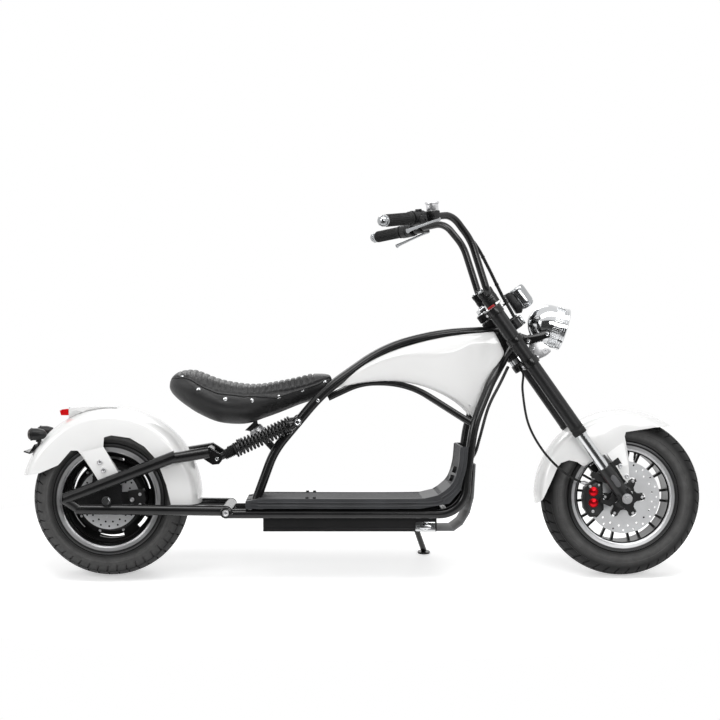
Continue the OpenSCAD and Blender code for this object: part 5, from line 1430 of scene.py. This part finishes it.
riser = join(stack(oval(23, 14), 701.3, 757, 3), stack(oval(24, 15), 724, 733, 2), stack(oval(24, 15), 744, 759, 3))
riser_obj = finish_piece("bar_risers", both_sides(riser), FORK, "steering", gloss_black)
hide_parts("risers")
stripe = oval(23.6, 14.6)
red_part = [p for p in stripe if p[0] < 10] + [(10, 105)]
white_part = [p for p in stripe if p[0] >= 10] + [(10, 105)]
for name, part, material, slot in (("riser_stripe_red", red_part, red_button, "red_cap"),
                                   ("riser_stripe_white", white_part, gloss_white, "white_panel")):
    part.sort(key=lambda p: math.atan2(p[1] - 105, p[0] - 9.9))
    finish_piece(name, both_sides(stack(part, 703, 709, 0)), FORK, "steering", material)

# Headlight: a polished steel bowl with a fluted band and a stepped rim, a silvered reflector with a bulb behind
# clear glass, held by black arms and a silver bracket on each side. It is aimed with the fork.
LAMP = FORK @ at(151.5, 0, 515.5) @ turn(142, "Y")
bowl = [(0, -116), (12, -115)]
for k in range(1, 17):
    a = math.radians(12 + k * 4.9)
    bowl.append((62.6 * math.sin(a), -50 - 65 * math.cos(a)))
bowl += [(62.6, -44), (62.6, -12), (60, -10), (57.4, -10), (57.4, -30), (56.6, -44)]
for k in range(8):
    a = math.radians(84 - k * 10)
    bowl.append((56 * math.sin(a), -46 - 60 * math.cos(a)))
shell = lathe(bowl + [(0, -106)], 96, False)
rim = lathe([(57.4, -10), (62.8, -14), (64.6, -13), (64.6, -9.5), (63.6, -9), (63.6, -7), (65.8, -6), (65.8, -1.5),
             (64.2, 0.5), (62, 1.5), (58.8, 1), (57.4, -1)], 96)
flute = plate([(60, -44), (61, -44.5), (63.9, -41), (63.9, -17), (62.4, -14.5), (60, -14.5)], -1.15, 1.15, 0.5)
flutes = ring_of(flute, 72, chrome, axis="Z")
shell_obj = finish_piece("headlight_bowl", join(shell, rim, flutes), LAMP, "steering", chrome, 30)
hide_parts("headlight_shell")
bulb = join(lathe([(0, -44), (3.5, -43), (5.5, -38), (5.5, -20), (4.0, -15), (0, -13.5)], 24, False),
            lathe([(0, -13.4), (4.2, -14.8), (4.2, -11), (0, -10.2)], 24, False))
finish_piece("headlight_bulb", bulb, LAMP, "steering", zinc)
glass_bars = [plate([(x - 1.3, -9.6), (x + 1.3, -9.6), (x + 0.5, -8.0), (x - 0.5, -8.0)],
                    -math.sqrt(55 ** 2 - x * x), math.sqrt(55 ** 2 - x * x)) for x in range(-48, 49, 8)]
finish_piece("headlight_flutes", join(*glass_bars), LAMP, "steering", clear_lens)

arm = plate([(8, 592), (8, 574), (30, 547), (40, 541), (92, 528), (101, 532), (105, 541), (100, 550), (46, 566),
             (26, 592)], 63.6, 69.6, 2.2)
link = plate([(24, 549), (37, 541), (44, 552), (38, 565), (24, 562)], 69, 74, 2)
collars = moved(lathe([(21.3, 574), (26, 574), (26.6, 576), (26.6, 590), (26, 592), (21.3, 592)], 40), at(0, FORK_Y, 0))
tie = plate([(8, 575), (22, 575), (22, 591), (8, 591)], 64, 86, 1.5)
shelf = plate([(28.5, 682), (60, 682), (60, 688), (28.5, 688)], -14, 14, 1)
strap = plate([(29, 684), (29, 634.5), (58, 634.5), (58, 638.5), (34, 638.5), (34, 684)], -5, 5, 0.6)
mount_obj = finish_piece("headlight_arms", join(both_sides(join(arm, link, collars, tie)), shelf, strap), FORK,
                         "steering", gloss_black)
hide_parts("headlight_mount")
bracket = plate([(28, 514), (45, 540), (67, 531), (79, 499), (74, 488), (54, 486), (28, 491)], 56, 59.5, 0.8)
boss = moved(lathe([(3.4, 0), (8, 0), (8, 2.4), (3.4, 2.4)], 24), aimed((60, 61.4, 500), (0, -1, 0)))
finish_piece("headlight_brackets", both_sides(join(bracket, boss)), FORK, "steering", zinc)
lamp_bolts = []
for way in (-1, 1):
    lamp_bolts += [((93, way * 69.4, 539), (0, way, 0), 6.5), ((33, way * 74, 553), (0, way, 0), 5),
                   ((36, way * 59.4, 526), (0, way, 0), 4)]
finish_piece("headlight_bolts", set_on(cap_screw(), lamp_bolts, chrome), FORK, "steering", chrome)

# Speedometer: a dark chrome cup with a round shoulder and a black dial under glass, on a stepped rubber block.
# The horn under it is a black drum with a plated sleeve at its side.
DIAL = FORK @ at(103, 0, 0)
cup = lathe([(0, 636), (11, 636.6), (18, 639), (22, 643), (23.2, 646), (22.6, 648), (24.6, 651), (25, 656),
             (25, 694), (24.2, 701), (22.6, 705.5), (20.6, 707), (20, 705.5), (0, 705.5)], 64, False)
cup_obj = finish_piece("speedometer_cup", cup, DIAL, "steering", dark_chrome)
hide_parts("speedometer")
steps = join(plate([(60, 640), (74, 634), (82, 640), (82, 704), (76, 708), (62, 709)], -17, 17, 2),
             plate([(64, 646), (84, 646), (84, 698), (64, 698)], -20.5, 20.5, 2),
             plate([(66, 654), (86, 654), (86, 672), (66, 672)], -23, 23, 2))
finish_piece("speedometer_block", steps, FORK, "steering", satin_black)
finish_piece("speedometer_dial", lathe([(0, 706.6), (19.8, 706.6), (19.8, 705), (0, 705)], 48, False), DIAL, "steering",
             satin_black)
drum = moved(lathe([(0, 600), (15, 600), (17.4, 602), (17.4, 606), (15.6, 607), (15.6, 627), (17.4, 628),
                    (17.4, 632), (15, 634), (0, 634)], 40, False), at(40, 0, 0))
horn_obj = finish_piece("horn_drum", drum, FORK, "steering", satin_black)
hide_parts("horn")
sleeve = moved(lathe([(0, 601), (4.6, 601), (6, 603), (6, 630), (4.6, 632), (0, 632)], 28, False), at(62, -4, 0))
finish_piece("horn_sleeve", sleeve, FORK, "steering", chrome)

# Cables: the loom down the bars and the loom down the frame are wound in ribbed plastic wrap; the brake hose is
# plain rubber with plated ends. Each follows the frame's own cable.
loom_line = smooth_path([(57, -136.3, 960), (67, -112, 885), (62, -84, 810), (56, -54, 750), (52, -34, 708),
                         (49, -27, 664), (46, -23, 636)], 26)
bar_cable = finish_piece("bar_loom_wrapped", tube(loom_line, 4.6, 14, (7.0, 1.0)), FORK, "steering", satin_black,
                         60)
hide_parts("bar_loom")
frame_line = smooth_path([(DOWN_X + 108, -58, 640), (DOWN_X + 82, -86, 592), (DOWN_X + 44, -108, 520),
                          (DOWN_X + 17.4, -118, 431), (DOWN_X + 6, -98, 384), (DOWN_X - 12, -86, 346),
                          (DOWN_X - 20, -84, 300)], 34)
frame_cable = finish_piece("frame_loom_wrapped", tube(frame_line, 4.2, 12, (6.0, 1.0)), Matrix.Identity(4), "frame",
                           satin_black, 60)
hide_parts("frame_loom")
hose_line = smooth_path([(-32.6, -60, 512), (-33, -60, 496), (-36, -60, 478), (-66, -66, 440), (-110, -84, 351),
                         (-122, -100, 261), (-110, -100, 178), (-86, -82, 122), (-66, -72, 96.9)], 18)
hose = finish_piece("brake_hose_round", tube(hose_line, 3.6, 12), FORK, "steering", grip_rubber, 60)
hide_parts("brake_hose")
hose_end = moved(lathe([(0, 0), (5, 0), (5, 8), (6.2, 9), (6.2, 14), (4.4, 15), (4.4, 24), (0, 24)], 20, False),
                 aimed(hose_line[-1], hose_line[-10] - hose_line[-1]))
finish_piece("brake_hose_end", hose_end, FORK, "steering", zinc)
cable_ties = []
for k in (40, 78, 112):
    ring = lathe([(4.4, -2), (6.2, -2), (6.2, 2), (4.4, 2)], 20)
    cable_ties.append(moved(ring, aimed(loom_line[k], loom_line[k + 1] - loom_line[k])))
finish_piece("cable_ties", join(*cable_ties), FORK, "steering", grip_rubber)
